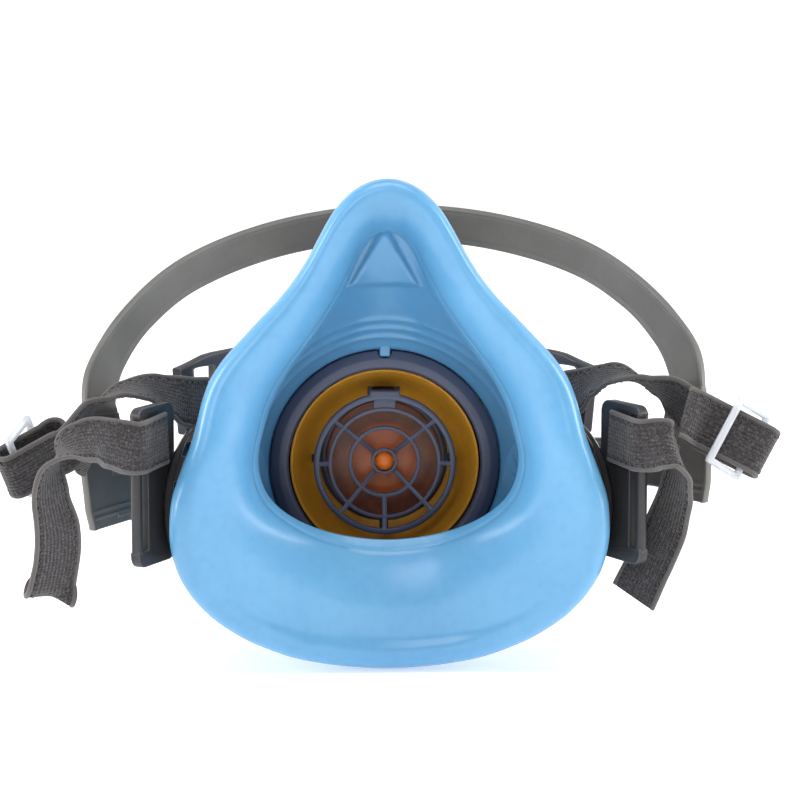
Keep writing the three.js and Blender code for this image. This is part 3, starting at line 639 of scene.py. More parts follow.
def ray_table(half):
    c = closed_curve(half)
    c = c - np.array([0, CY])
    ang = np.unwrap(np.arctan2(c[:, 1], c[:, 0]))
    r = np.hypot(c[:, 0], c[:, 1])
    if ang[-1] < ang[0]:
        ang, r = ang[::-1], r[::-1]
    ang = np.concatenate([ang - 2 * np.pi, ang, ang + 2 * np.pi])
    r = np.concatenate([r, r, r])
    o = np.argsort(ang, kind="stable")
    return lambda phi: float(np.interp(phi, ang[o], r[o]))


r_out, r_lip = ray_table(OUTLINE), ray_table(LIP)


def r_circle(R, phi):
    b = CY * math.sin(phi)
    return -b + math.sqrt(b * b - (CY * CY - R * R))


def smoothstep(a, b, x):
    t = np.clip((x - a) / (b - a), 0, 1)
    return t * t * (3 - 2 * t)


def soft_table(xs, ys, reach=5.0):
    """a table of heights with its corners rounded over a few millimetres"""
    g = np.linspace(-110, 140, 1001)
    v = np.interp(g, xs, ys)
    k = np.exp(-0.5 * (np.arange(-80, 81) * (g[1] - g[0]) / reach) ** 2)
    v = np.convolve(np.pad(v, 80, mode="edge"), k / k.sum(), mode="valid")
    return lambda z: float(np.interp(z, g, v))


rim_y = soft_table([-47, -38, -25, -8, 10, 30, 50, 76], [2, -4, -9, -12, -11, -6, 0, 6], 4.0)
lip_y = soft_table([-20, -10, 5, 30, 60], [10, 6, 2, 7, 14], 5.0)


def soft_ray(f, reach):
    """a ray table smoothed over a few degrees, so that the seal has no waves"""
    a = np.linspace(-math.pi, math.pi, 1441)[:-1]
    v = np.array([f(t) for t in a])
    k = np.exp(-0.5 * (np.arange(-60, 61) * 0.25 / reach) ** 2)
    v = np.convolve(np.pad(v, 60, mode="wrap"), k / k.sum(), mode="valid")
    aa = np.concatenate([a - 2 * math.pi, a, a + 2 * math.pi])
    vv = np.concatenate([v, v, v])
    return lambda t: float(np.interp(t, aa, vv))


r_lip = soft_ray(r_lip, 2.6)
r_out_soft = soft_ray(r_out, 3.0)


def section(phi, n_wall=150):
    Ro, Rl = r_out(phi), r_lip(phi)
    zO, zL = CY + Ro * math.sin(phi), CY + Rl * math.sin(phi)
    yo, yl = rim_y(zO), lip_y(zL)
    Rn, Rf = r_circle(NECK_MID_R, phi), r_circle(FLANGE_IN_R, phi)
    d = Ro - Rl
    mid = [
        (Rl, yl, LIP_THICK), (Rl + 0.10 * d, yl - 0.30 * (yl - yo), 1.2), (Rl + 0.22 * d, yl - 0.52 * (yl - yo), 1.6),
        (Rl + 0.45 * d, yl - 0.78 * (yl - yo), 2.0),
        (Ro - min(7.8, 0.34 * d), yo + 1.15 * min(1.0, d / 24), 2.3), (Ro - min(5.0, 0.22 * d), yo + 0.3, RIM_THICK), (Ro - min(2.8, 0.14 * d), yo + 0.8, RIM_THICK), (Ro - 1.25, yo + 3.2, RIM_THICK),
        (Ro - 1.9 - 0.02 * (Ro - Rn), yo + 7, RIM_THICK),
        (Rn + 0.62 * (Ro - Rn) - 1.5, yo + 0.42 * (34 - yo), RIM_THICK),
        (Rn + 0.27 * (Ro - Rn) - 0.5, yo + 0.74 * (34 - yo), RIM_THICK),
        (Rn, 34.2, RIM_THICK),
    ]
    A, _ = catmull([(r, y, 0, h) for r, y, h in mid], n_wall)
    wall = A[:, [0, 1, 3]]
    tail = fillet([(Rn, 34.2), (Rn, NECK_END_Y), (Rf, NECK_END_Y)], 1.6, 6, closed=False)
    tail = np.array([(r, y, RIM_THICK) for r, y in tail[1:]])
    mid_line = np.vstack([wall, tail])
    T = np.gradient(mid_line[:, :2], axis=0)
    T /= np.linalg.norm(T, axis=1)[:, None]
    Nn = np.stack([-T[:, 1], T[:, 0]], 1)
    h = mid_line[:, 2:3] / 2
    a, b = mid_line[:, :2] + Nn * h, mid_line[:, :2] - Nn * h
    # a faces the cavity: nose pad and the ridges above the collar
    k = np.arange(len(a)) > len(wall) * 0.45
    x, z = a[:, 0] * math.cos(phi), CY + a[:, 0] * math.sin(phi)
    rr = np.hypot(x, z)
    # distance inside the triangle of the nose pad
    d0 = (z - 47.0) * 1.5
    nl = np.array([15.6, -9.0])
    nl = nl / np.linalg.norm(nl)
    apex = np.array([-0.6, 64.5])
    dl = ((x - apex[0]) * 1 * nl[0] + (z - apex[1]) * nl[1])
    dr = (-(x - apex[0]) * nl[0] + (z - apex[1]) * nl[1])
    inside = np.minimum(np.minimum(d0, dl), dr)
    pad = smoothstep(0.0, 1.9, inside) * 1.8
    ridge = np.zeros_like(rr)
    for rc in (33.2, 35.6, 38.0):
        ridge += 0.55 * np.exp(-((rr - rc) / 0.62) ** 2)
    yy = a[:, 1]
    push = np.where(k, pad + ridge * (yy > 15), 0)
    a = a + np.stack([np.zeros_like(push), -push], 1)
    # crease a little outside the free lip, on the wearer's side
    s = np.concatenate([[0], np.cumsum(np.linalg.norm(np.diff(mid_line[:, :2], axis=0), axis=1))])
    crease = -0.28 * np.exp(-((s - 2.9) / 0.45) ** 2)
    b = b - Nn * crease[:, None]
    # rounded free lip
    c0, hh = mid_line[0, :2], LIP_THICK / 2
    cap = [c0 + (-T[0] * math.sin(t) - Nn[0] * math.cos(t)) * hh for t in np.linspace(0, math.pi, 7)[1:-1]]
    return np.vstack([a, b[::-1], cap])


def side(sign):
    """local x = t, y = up, z = outboard along the side valve's axis"""
    n = Vector((sign * math.cos(VALVE_TILT), math.sin(VALVE_TILT), 0))
    up = Vector((0, 0, 1))
    t = up.cross(n)
    m = Matrix((t, up, n)).transposed().to_4x4()
    m.translation = Vector((sign * 46.5, 18.6, -6))
    return m


VALVE_TILT = math.radians(27)
Y_TO_Z = Matrix.Rotation(math.radians(90), 4, "X")


def side_lathe(name, sign, profile, seg=96, r=0.35, closed=True, n=3):
    return lathe(name, profile, seg, side(sign) @ Y_TO_Z, closed=closed, r=r, n=n)


def ring(r0, r1, y0, y1):
    return [(r0, y0), (r1, y0), (r1, y1), (r0, y1)]


def disc(r, y0, y1):
    return [(0, y0), (r, y0), (r, y1), (0, y1)]


def facepiece():
    FN = 300
    c = closed_curve(OUTLINE, 60)
    L = np.concatenate([[0], np.cumsum(np.linalg.norm(np.diff(np.vstack([c, c[:1]]), axis=0), axis=1))])
    s = np.linspace(0, L[-1], FN + 1)[:-1]
    cc = np.vstack([c, c[:1]])
    px, pz = np.interp(s, L, cc[:, 0]), np.interp(s, L, cc[:, 1])
    phis = np.arctan2(pz - CY, px)
    secs = [section(float(p)) for p in phis]
    M = len(secs[0])
    verts, faces = [], []
    for phi, sec in zip(phis, secs):
        for r, y in sec:
            verts.append((r * math.cos(phi), y, CY + r * math.sin(phi)))
    for i in range(FN):
        for j in range(M):
            a, b = i * M, ((i + 1) % FN) * M
            faces.append((a + j, b + j, b + (j + 1) % M, a + (j + 1) % M))
    ob = outward(new_object("silicone_facepiece", verts, faces))
    for sign in (-1, 1):
        cut(ob, side_lathe("x", sign, ring(8.8, 17.0, -10.0, -7.3), 80, r=0), op="UNION")
        cut(ob, side_lathe("x", sign, disc(9.6, -14, 2), 80, closed=False, r=0),
            side_lathe("x", sign, disc(15.4, -7.3, 3), 80, closed=False, r=0))
    nub = soften(cuboid("x", -1.35, 1.35, 33.4, 37.2, 27.9, 31.6), 0.45, 3)
    cut(ob, nub, op="UNION")
    by_angle(ob, 40)
    return ob


keep(facepiece(), "mask", "facepiece", slot="silicone", mat=BLUE)


# ------------------------------------------------------------------ inlet
def y_box(phi, w, r0, r1, y0, y1):
    """a box along the radius phi, w wide, as on the part's turned pieces"""
    m = Matrix(((math.cos(phi), 0, -math.sin(phi), 0), (0, 1, 0, 0), (math.sin(phi), 0, math.cos(phi), 0), (0, 0, 0, 1)))
    return cuboid("x", r0, r1, y0, y1, -w / 2, w / 2, m)


clamp = lathe("clamp_collar", [(24.7, 33.8), (25.3, 33.2), (27.2, 33.2), (29.3, 34.9), (29.3, 38.0), (24.7, 38.0)], 180, r=0.3)
notch = join("x", [cuboid("x", -1.95, 1.95, 32, 40, 29.35, 34),
                   lathe("x", disc(1.95, 32, 40), 40, Matrix.Translation((0, 0, 29.35)), closed=False, r=0)], union=True)
cut(clamp, notch)
soften(clamp, 0.22, 2, 50)
keep(by_angle(clamp), "mask", "clamp_ring", slot="slate_plastic", mat=SLATE)

LEGS = (0, math.pi, -math.pi / 2)
gasket = lathe("inlet_bowl_gasket", [(23.7, 36.2), (24.3, 36.2), (24.3, 46.3), (16.7, 46.3), (16.7, 45.2), (17.6, 44.7),
                                     (19.0, 43.6), (20.3, 42.0), (21.4, 40.4), (22.6, 38.3)], 180, r=0.3)
for phi in LEGS:
    cut(gasket, y_box(phi, 2.2, 15, 18.7, 30, 47.5))
cut(gasket, y_box(math.pi / 2, 8.4, 15, 18.9, 30, 47.5))
keep(by_angle(gasket), "mask", "inlet_gasket", slot="amber_silicone", mat=AMBER)

seat = join("inlet_valve_seat", [
    lathe("x", [(14.2, 45.4), (14.9, 44.9), (15.6, 44.8), (16.1, 45.2), (16.1, 46.7), (24.2, 46.7), (24.2, 48.6), (14.2, 48.6)], 160, r=0.2),
    lathe("x", ring(2.2, 4.2, 46.9, 48.6), 60, r=0.2),
    *[soften(y_box(a, 1.6, 3.6, 14.6, 47.1, 48.4), 0.2) for a in (0.5, 2.6, 4.7)]], union=True)
keep(by_angle(seat), "mask", "inlet_seat", slot="slate_plastic", mat=SLATE)

flap = lathe("inlet_flap_valve", [(0, 37.2), (1.0, 37.3), (1.8, 37.75), (2.3, 38.5), (2.35, 39.2), (1.5, 40.4), (1.5, 43.2), (3.2, 43.45), (5.5, 43.6),
                                  (14.2, 44.0), (15.0, 44.1), (15.0, 44.6), (5.5, 44.5), (1.7, 45.6), (1.7, 48.9), (0, 49.6)], 140, closed=False, r=0.25)
keep(by_angle(flap, 50), "inlet_flap_body", "inlet_flap", slot="orange_silicone", mat=FLAPM)

GUARD_R, GUARD_Y, HUB_Y, HUB_R = 18.3, 33.4, 39.6, 3.4


def ry(r):
    return GUARD_Y + 0.9 + (HUB_Y - GUARD_Y) * (GUARD_R - 1 - r) / (GUARD_R - 1 - HUB_R)


def slant(phi, w, r0, r1, h=1.4):
    m = Matrix(((math.cos(phi), 0, -math.sin(phi)), (0, 1, 0), (math.sin(phi), 0, math.cos(phi))))
    verts = []
    for r in (r0, r1):
        for dy in (-h / 2, h / 2):
            for dz in (-w / 2, w / 2):
                verts.append(tuple(m @ Vector((r, ry(r) + dy, dz))))
    ob = new_object("x", verts, [(0, 1, 3, 2), (4, 6, 7, 5), (0, 4, 5, 1), (2, 3, 7, 6), (0, 2, 6, 4), (1, 5, 7, 3)])
    return soften(outward(ob), 0.28, 2)


def guard_ring(r0, r1, h=1.5):
    c = ry((r0 + r1) / 2)
    return lathe("x", ring(r0, r1, c - h / 2, c + h / 2), 140, r=0.42)


guard = join("inlet_guard_grille", [
    lathe("x", [(16.8, 33.4), (17.9, 33.4), (18.3, 33.8), (18.3, 35.4), (16.8, 35.4)], 160, r=0.4),
    guard_ring(13.5, 14.5), guard_ring(8.3, 9.4),
    lathe("x", ring(2.62, 3.4, 38.7, 40.6), 60, r=0.25),
    *[slant(a, 1.15, 3.0, 17.8) for a in (0.72, 2.42, 3.98, 5.5)],
    *[slant(a, 1.2, 14, 17.8) for a in (0, math.pi)], slant(-math.pi / 2, 1.2, 8.9, 17.8),
    *[soften(y_box(a, 1.5, 16.75, 18.1, 34.6, 46.4), 0.2) for a in LEGS],
    soften(cuboid("x", -3.85, 3.85, 33.5, 35.6, 16.9, 19.0), 0.5, 3),
    soften(cuboid("x", -2.9, 2.9, 35.3, 46.4, 16.9, 18.3), 0.25),
    soften(cuboid("x", -2.9, 2.9, 35.6, 37.2, 13.9, 17.4), 0.4, 3)], union=True)
keep(by_angle(guard), "mask", "inlet_guard", slot="slate_plastic", mat=SLATE)


# ------------------------------------------------------------------ webbing path helper
def path_points(stations, n, wmode="step"):
    P = np.array([s[:3] for s in stations], float)
    Wv = np.array([s[3:] for s in stations], float)
    Wv /= np.linalg.norm(Wv, axis=1)[:, None]
    Q = np.vstack([2 * P[0] - P[1], P, 2 * P[-1] - P[-2]])
    out, ws = [], []
    for i in range(1, len(Q) - 2):
        p0, p1, p2, p3 = Q[i - 1], Q[i], Q[i + 1], Q[i + 2]
        d = [max(np.linalg.norm(b - a) ** 0.5, 1e-4) for a, b in ((p0, p1), (p1, p2), (p2, p3))]
        t0, t1 = 0.0, d[0]
        t2, t3 = t1 + d[1], t1 + d[1] + d[2]
        fs = np.linspace(0, 1, 24, endpoint=(i == len(Q) - 3))
        for f in fs:
            t = t1 + f * (t2 - t1)
            a1 = (t1 - t) / (t1 - t0) * p0 + (t - t0) / (t1 - t0) * p1
            a2 = (t2 - t) / (t2 - t1) * p1 + (t - t1) / (t2 - t1) * p2
            a3 = (t3 - t) / (t3 - t2) * p2 + (t - t2) / (t3 - t2) * p3
            b1 = (t2 - t) / (t2 - t0) * a1 + (t - t0) / (t2 - t0) * a2
            b2 = (t3 - t) / (t3 - t1) * a2 + (t - t1) / (t3 - t1) * a3
            out.append((t2 - t) / (t2 - t1) * b1 + (t - t1) / (t2 - t1) * b2)
            s = f * f * (3 - 2 * f)
            w = Wv[i - 1] * (1 - s) + Wv[i] * s
            ws.append(w / np.linalg.norm(w))
    A, Wm = np.array(out), np.array(ws)
    keepers = np.concatenate([[True], np.linalg.norm(np.diff(A, axis=0), axis=1) > 1e-6])
    A, Wm = A[keepers], Wm[keepers]
    L = np.concatenate([[0], np.cumsum(np.linalg.norm(np.diff(A, axis=0), axis=1))])
    s = np.linspace(0, L[-1], n)
    C = np.stack([np.interp(s, L, A[:, k]) for k in range(3)], 1)
    W = np.stack([np.interp(s, L, Wm[:, k]) for k in range(3)], 1)
    T = np.gradient(C, axis=0)
    T /= np.linalg.norm(T, axis=1)[:, None]
    W -= (W * T).sum(1)[:, None] * T
    W /= np.linalg.norm(W, axis=1)[:, None]
    return C, T, W, np.cross(T, W), float(L[-1])


def band(name, stations, n, cross, width, width_at=None, M=None, uv_unit=None):
    C, T, W, N, L = path_points(stations, n)
    m = len(cross)
    verts, faces, uvs = [], [], []
    for i in range(n):
        k = width_at(i / (n - 1)) if width_at else 1.0
        for (x, y) in cross:
            verts.append(tuple(C[i] + W[i] * x * k + N[i] * y))
    unit = uv_unit or width
    for i in range(n - 1):
        v0, v1 = L * i / (n - 1) / unit, L * (i + 1) / (n - 1) / unit
        for j in range(m):
            j2 = (j + 1) % m
            faces.append((i * m + j, i * m + j2, (i + 1) * m + j2, (i + 1) * m + j))
            ua, ub = cross[j][0] / width + 0.5, cross[j2][0] / width + 0.5
            uvs += [(ua, v0), (ub, v0), (ub, v1), (ua, v1)]
    faces.append(tuple(range(m))[::-1])
    uvs += [(cross[j][0] / width + 0.5, 0) for j in range(m)][::-1]
    faces.append(tuple((n - 1) * m + j for j in range(m)))
    uvs += [(cross[j][0] / width + 0.5, L / unit) for j in range(m)]
    if M is not None:
        verts = [tuple(M @ Vector(v)) for v in verts]
    ob = new_object(name, verts, faces, uvs)
    bm = bmesh.new()
    bm.from_mesh(ob.data)
    if bm.calc_volume(signed=True) < 0:
        bmesh.ops.reverse_faces(bm, faces=bm.faces[:])
    bm.to_mesh(ob.data)
    bm.free()
    return by_angle(ob, 50), (C, T, W, N, L)


def strap_cross():
    half = []
    for x in np.linspace(0, 4.75, 10):
        half.append((float(x), 0.53))
    half += [(4.98, 0.44), (5.16, 0.40), (5.28, 0.42)]
    for t in np.linspace(150, 0, 8):
        half.append((5.86 + 0.64 * math.cos(math.radians(t)), 0.64 * math.sin(math.radians(t))))
    top = half[:-1]
    right = top + [half[-1]] + [(x, -y) for x, y in top[::-1]]
    left = [(-x, y) for x, y in right[::-1]]
    pts = right + left
    out = []
    for p in pts:
        if not out or math.hypot(p[0] - out[-1][0], p[1] - out[-1][1]) > 1e-4:
            out.append(p)
    if math.hypot(out[0][0] - out[-1][0], out[0][1] - out[-1][1]) < 1e-4:
        out.pop()
    return out


STRAP_W = 13.0
S_CROSS = strap_cross()


def stitches(name, frame_, pitch=1.2, skip=()):
    """two zigzag rows of thread on both faces of a strap"""
    C, T, W, N, L = frame_
    verts, faces = [], []
    count = int(L / pitch)
    s_axis = np.linspace(0, L, len(C))

    def at(s):
        c = np.array([np.interp(s, s_axis, C[:, k]) for k in range(3)])
        i = min(len(C) - 1, int(round(s / L * (len(C) - 1))))
        return c, T[i], W[i], N[i]

    for q in range(1, count):
        s = q * pitch
        c, t, w, nn = at(s)
        for e in (-1, 1):
            for f in (-1, 1):
                zig = 0.55 if q % 2 else -0.55
                x = e * (4.72 + zig * 0.42)
                d = t * 0.60 + w * e * (0.62 if q % 2 else -0.62)
                d = d / np.linalg.norm(d)
                o = c + w * x + nn * f * 0.53
                side_v = np.cross(d, nn)
                b = len(verts)
                for kk, (al, wd, up) in enumerate(((-0.60, 0.10, -0.06), (-0.38, 0.25, 0.16), (0.38, 0.25, 0.16), (0.60, 0.10, -0.06))):
                    for sg in (-1, 0, 1):
                        verts.append(tuple(o + d * al + side_v * wd * sg + nn * f * (up if sg == 0 else -0.06)))
                for kk in range(3):
                    for g in range(2):
                        i0 = b + kk * 3 + g
                        faces.append((i0, i0 + 1, i0 + 4, i0 + 3))
                    i0 = b + kk * 3
                    faces.append((i0 + 2, i0, i0 + 3, i0 + 5))
                faces.append((b, b + 2, b + 1))
                faces.append((b + 9, b + 10, b + 11))
    ob = new_object(name, verts, faces)
    bm = bmesh.new()
    bm.from_mesh(ob.data)
    bmesh.ops.recalc_face_normals(bm, faces=bm.faces[:])
    bm.to_mesh(ob.data)
    bm.free()
    return ob


def strap(name, stations, node, body, n=260, bend=0):
    ob, fr = band(name, stations, n, S_CROSS, STRAP_W)
    st = stitches(name + "_stitching", fr)
    for o, m in ((ob, WEB), (st, THREAD)):
        o.data.materials.clear()
        o.data.materials.append(m)
        if bend:
            p0, p1 = plate_point(bend, 26.5, 0.5, 0), plate_point(bend, 31.5, 0.5, 0)
            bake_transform(o)
        else:
            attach(o, body)
    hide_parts(node)
    return fr


# upper straps with their fold round the buckle
FOLD_R = 2.6


def strap_set(tag, out, C, T, W, tail, near_side, order):
    C, T, W = Vector(C), Vector(T).normalized(), Vector(W)
    W = (W - T * W.dot(T)).normalized()
    N = T.cross(W).normalized()

    def at(a, b):
        q = C + T * a + N * b * order
        return [q.x, q.y, q.z, W.x, W.y, W.z]

    fold = [at(6.2 + FOLD_R * math.cos(a), FOLD_R * math.sin(a)) for a in [-math.pi / 2 + i * math.pi / 6 for i in range(7)]]
    path = [*out, at(-7.5, -FOLD_R), at(-4, -FOLD_R), at(0, -FOLD_R), at(3.6, -FOLD_R), *fold,
            at(3.6, FOLD_R), at(0, FOLD_R), at(-4, FOLD_R), at(-7.5, FOLD_R), *tail]
    strap("upper_strap_" + tag + "_web", path, "upper_strap_" + tag, "mask", 380)
    m = Matrix((T, W, N)).transposed().to_4x4()
    m.translation = C
    a0, a1 = (4.6, 0.0), (-2.6, near_side * (FOLD_R + 0.65 + 1.5))

    def rail(p):
        return rod("x", m @ Vector((p[0], -8.3, p[1])), m @ Vector((p[0], 8.3, p[1])), 0.95, 28)

    dx, dz = a1[0] - a0[0], a1[1] - a0[1]
    Ln, ang = math.hypot(dx, dz), math.atan2(dz, dx)

    def end(s):
        turn = Matrix.Rotation(-ang, 4, "Y")
        mm = m @ Matrix.Translation(((a0[0] + a1[0]) / 2, s * 8.2, (a0[1] + a1[1]) / 2)) @ turn
        return soften(cuboid("x", -(Ln + 1.6) / 2, (Ln + 1.6) / 2, -0.8, 0.8, -0.85, 0.85, mm), 0.5, 4)

    ob = join("buckle_" + tag + "_frame", [end(1), end(-1), rail(a0), rail(a1)], union=True)
    keep(by_angle(ob), "buckle_%s_body" % tag, "buckle_" + tag, slot="clear_plastic", mat=CLEAR)


strap_set("L",
          [[-45.4, 27.5, 17.2, 0, -0.05, -1], [-49.6, 22.0, 18.0, 0.0, -0.2, -1], [-55.3, 17.0, 20.4, 0.15, -0.7, -0.7], [-62.4, 11.0, 22.4, 0.2, -0.96, -0.2],
           [-69.6, 5.2, 20.6, 0.15, -0.97, 0.15], [-74.2, 1.8, 17.4, -0.1, -0.85, 0.45]],
          [-85.8, -2.4, 7.8], [-0.84, -0.33, -0.43], [-0.35, -0.5, 0.78],
          [[-75.8, 0.6, 7.6, -0.3, -0.6, 0.72], [-72.6, 0.6, 6.0, -0.3, -0.6, 0.72]], 1, 1)
strap_set("R",
          [[45.4, 27.5, 18.2, 0, -0.05, -1], [48.4, 21.6, 20.2, -0.1, -0.5, -0.85], [53.0, 17.0, 23.6, -0.1, -0.92, -0.38], [58.5, 11.5, 25.0, 0.1, -0.99, -0.05],
           [65.2, 7.5, 23.6, 0.15, -0.95, 0.25], [71.5, 3.6, 20.4, 0.25, -0.62, 0.72]],
          [84.2, -4.6, 12.2], [0.86, -0.28, -0.42], [0.48, 0.22, 0.84],
          [[73.6, -7.2, 18.4, 0.46, 0.4, 0.8], [71.4, -8.0, 19.4, 0.46, 0.4, 0.8]], 1, 1)

BAR_R, BAR_T, BAR_S = 1.35, 29.5, 1.55


def bar_centre(sign):
    return side(sign) @ Vector((-sign * BAR_T, 0, BAR_S))


def eye(sign, z, a0, a1, n):
    c, R = bar_centre(sign), BAR_R + 0.7 + 0.65
    out = []
    for i in range(n + 1):
        a = a0 + (a1 - a0) * i / n
        out.append([c.x + sign * R * math.cos(a), c.y + R * math.sin(a), z, 0, 0, -1])
    return out


def plate_point(sign, t, s_, z, w=(0, 0, -1)):
    q = side(sign) @ Vector((-sign * t, 0, s_))
    return [q.x, q.y, z, *w]


def sewn_end(sign, z):
    return [plate_point(sign, 19.4, -1.15, z + 0.9), plate_point(sign, 23.0, -1.2, z + 0.6), plate_point(sign, 27.0, -1.25, z + 0.3),
            plate_point(sign, 30.6, -1.1, z), plate_point(sign, 32.7, 0.3, z)]


strap("lower_strap_L_web", [*sewn_end(-1, 11.4),
      [-67.5, -13.6, 13.2, 0.02, -0.45, -0.85], [-72.4, -17.8, 14.2, -0.03, -0.8, -0.58], [-77.5, -20.2, 12.6, -0.24, -0.85, -0.5], [-80.8, -20.6, 7.6, -0.42, -0.86, -0.26], [-80.9, -19.4, 0.6, -0.59, -0.8, -0.02],
      [-79.6, -17.8, -7.6, -0.74, -0.65, 0.12], [-79.9, -16.0, -14.0, -0.76, -0.62, 0.18], [-81.0, -14.8, -19.5, -0.76, -0.6, 0.22],
      [-81.7, -13.8, -22.4, -0.76, -0.6, 0.24], [-82.0, -11.8, -23.8, -0.76, -0.6, 0.24], [-81.6, -9.8, -22.4, -0.76, -0.6, 0.24], [-80.8, -8.8, -17.5, -0.76, -0.6, 0.22], [-80.2, -8.8, -9.5, -0.74, -0.65, 0.2]],
      "lower_strap_L", "lower_strap_L_body", 300, bend=-1)
strap("lower_strap_R_web", [*sewn_end(1, 11.4),
      [66.4, -12.6, 12.0, 0, -0.4, -0.9], [68.8, -11.6, 10.4, .05, -0.75, -0.6], [70.4, -8.6, 4.8, .28, -0.92, -0.2],
      [69.8, -5.4, -2.0, 0.5, -0.85, -0.1], [67.6, -2.4, -11.0, 0.68, -0.73, -0.03], [64.2, 0.8, -20.0, 0.74, -0.66, -0.06], [60.8, 3.4, -28.6, 0.8, -0.58, -0.11]],
      "lower_strap_R", "lower_strap_R_body", 260, bend=1)


# ------------------------------------------------------------------ side valves, covers and strap loops
def side_box(sign, x0, x1, y0, y1, z0, z1):
    return cuboid("x", x0, x1, y0, y1, z0, z1, side(sign))


for sign, tag in ((-1, "L"), (1, "R")):
    cover = side_lathe("exhale_cover_%s_cap" % tag, sign,
                       [(0, -1.6), (18.9, -1.6), (18.9, -5.0), (21.5, -5.0), (21.5, -3.4), (20.9, -2.9), (20.9, -1.4), (19.5, 0), (17.0, 0), (16.4, -0.35), (10.0, -0.35), (9.6, 0), (0, 0)],
                       150, closed=False, r=0.4)
    for i in range(12):
        if i in (5, 6, 7):
            continue
        m = side(sign) @ Matrix.Rotation((i + 0.5) / 12 * 2 * math.pi, 4, "Z")
        cut(cover, soften(cuboid("x", 17, 23, -2.2, 2.2, -5.6, -3.6, m), 0.5, 2))
    keep(by_angle(cover), "mask", "exhale_cover_" + tag, slot="dark_plastic", mat=DARK)

    def u(t):
        return -sign * t
    t0, t1 = sorted((u(13), u(32 - BAR_R)))
    zc, zh = (-18.6 + 20.5) / 2 + 6, (20.5 + 18.6) / 2
    x0, x1, y0, y1, rr = t0, t1, zc - zh, zc + zh, 3.0
    outl = []
    for cx, cy, a in ((x1 - rr, y0 + rr, -90), (x1 - rr, y1 - rr, 0), (x0 + rr, y1 - rr, 90), (x0 + rr, y0 + rr, 180)):
        for k in range(9):
            t = math.radians(a + 90 * k / 8)
            outl.append((cx + rr * math.cos(t), cy + rr * math.sin(t)))
    nn = len(outl)
    verts = [(x, y, z) for z in (0.3, 2.8) for x, y in outl]
    faces = [tuple(range(nn))[::-1], tuple(range(nn, 2 * nn))] + [(i, (i + 1) % nn, nn + (i + 1) % nn, nn + i) for i in range(nn)]
    plate = outward(new_object("x", [tuple(side(sign) @ Vector(v)) for v in verts], faces))
    s0, s1 = sorted((u(25.9), u(33)))
    cut(plate, side_box(sign, s0, s1, -14.6 + 6, 18.4 + 6, -2, 5))
    soften(plate, 0.45, 3, 50)
    bar = rod("x", side(sign) @ Vector((u(BAR_T), -14.6 + 6 - 0.6, BAR_S)), side(sign) @ Vector((u(BAR_T), 18.4 + 6 + 0.6, BAR_S)), BAR_R, 32)
    lp = join("strap_loop_%s_frame" % tag, [plate, bar], union=True)
    keep(by_angle(lp), "mask", "strap_loop_" + tag, slot="dark_plastic", mat=LOOP)

# ------------------------------------------------------------------ front shell
rect = [(x, y) for x, y in fillet([(-8.75, -1.3), (8.75, -1.3), (8.75, 1.3), (-8.75, 1.3)], 0.7, 4)]
arms = []
for sign in (-1, 1):
    arm, _ = band("x", [[sign * 26, 44.6, 20, 0, 0, 1], [sign * 34, 44.2, 22.0, 0, 0, 1], [sign * 42, 40.0, 20.6, 0, 0.0, 1],
                        [sign * 48.5, 33.5, 18.4, 0, 0, 1], [sign * 52.2, 27.6, 17.4, 0, 0, 1]], 60, rect, 17.5,
                  width_at=lambda t: 0.7 + 0.3 * min(1, t * 1.6))
    outward(arm)
    arms.append(arm)
shell = join("front_shell_body", [
    lathe("x", [(24.7, 41.2), (33.5, 41.2), (36, 43.2), (36, 47.4), (27.0, 47.4), (27.0, 49.2), (24.7, 49.2)], 160, r=0.5, n=4), *arms], union=True)
cut(shell, lathe("x", disc(24.7, 30, 60), 120, closed=False, r=0))
for sign in (-1, 1):
    m = Matrix.Translation((sign * 47.6, 34.6, 18.7)) @ Matrix.Rotation(sign * 0.72, 4, "Z")
    cut(shell, soften(cuboid("x", -1.5, 1.5, -5, 5, -6.9, 6.9, m), 0.6, 3))
keep(by_angle(shell), "mask", "front_shell", slot="shell_plastic", mat=SHELLM)

# ------------------------------------------------------------------ filter
base = join("filter_base_ring", [
    lathe("x", [(24.0, 49.5), (35.0, 49.5), (35.0, 54.5), (33.4, 54.5), (33.4, 51.6), (24.0, 51.6)], 160, r=0.3),
    *[soften(y_box(i * 2 * math.pi / 3, 8, 34.4, 36.2, 50.0, 51.8), 0.3) for i in range(3)]], union=True)
keep(by_angle(base), "mask", "filter_base", slot="shell_plastic", mat=SHELLM)
keep(by_angle(lathe("filter_seal_ring", ring(28.6, 33.0, 51.9, 53.4), 160, r=0.5)), "mask", "filter_gasket", slot="black_foam", mat=FOAM)


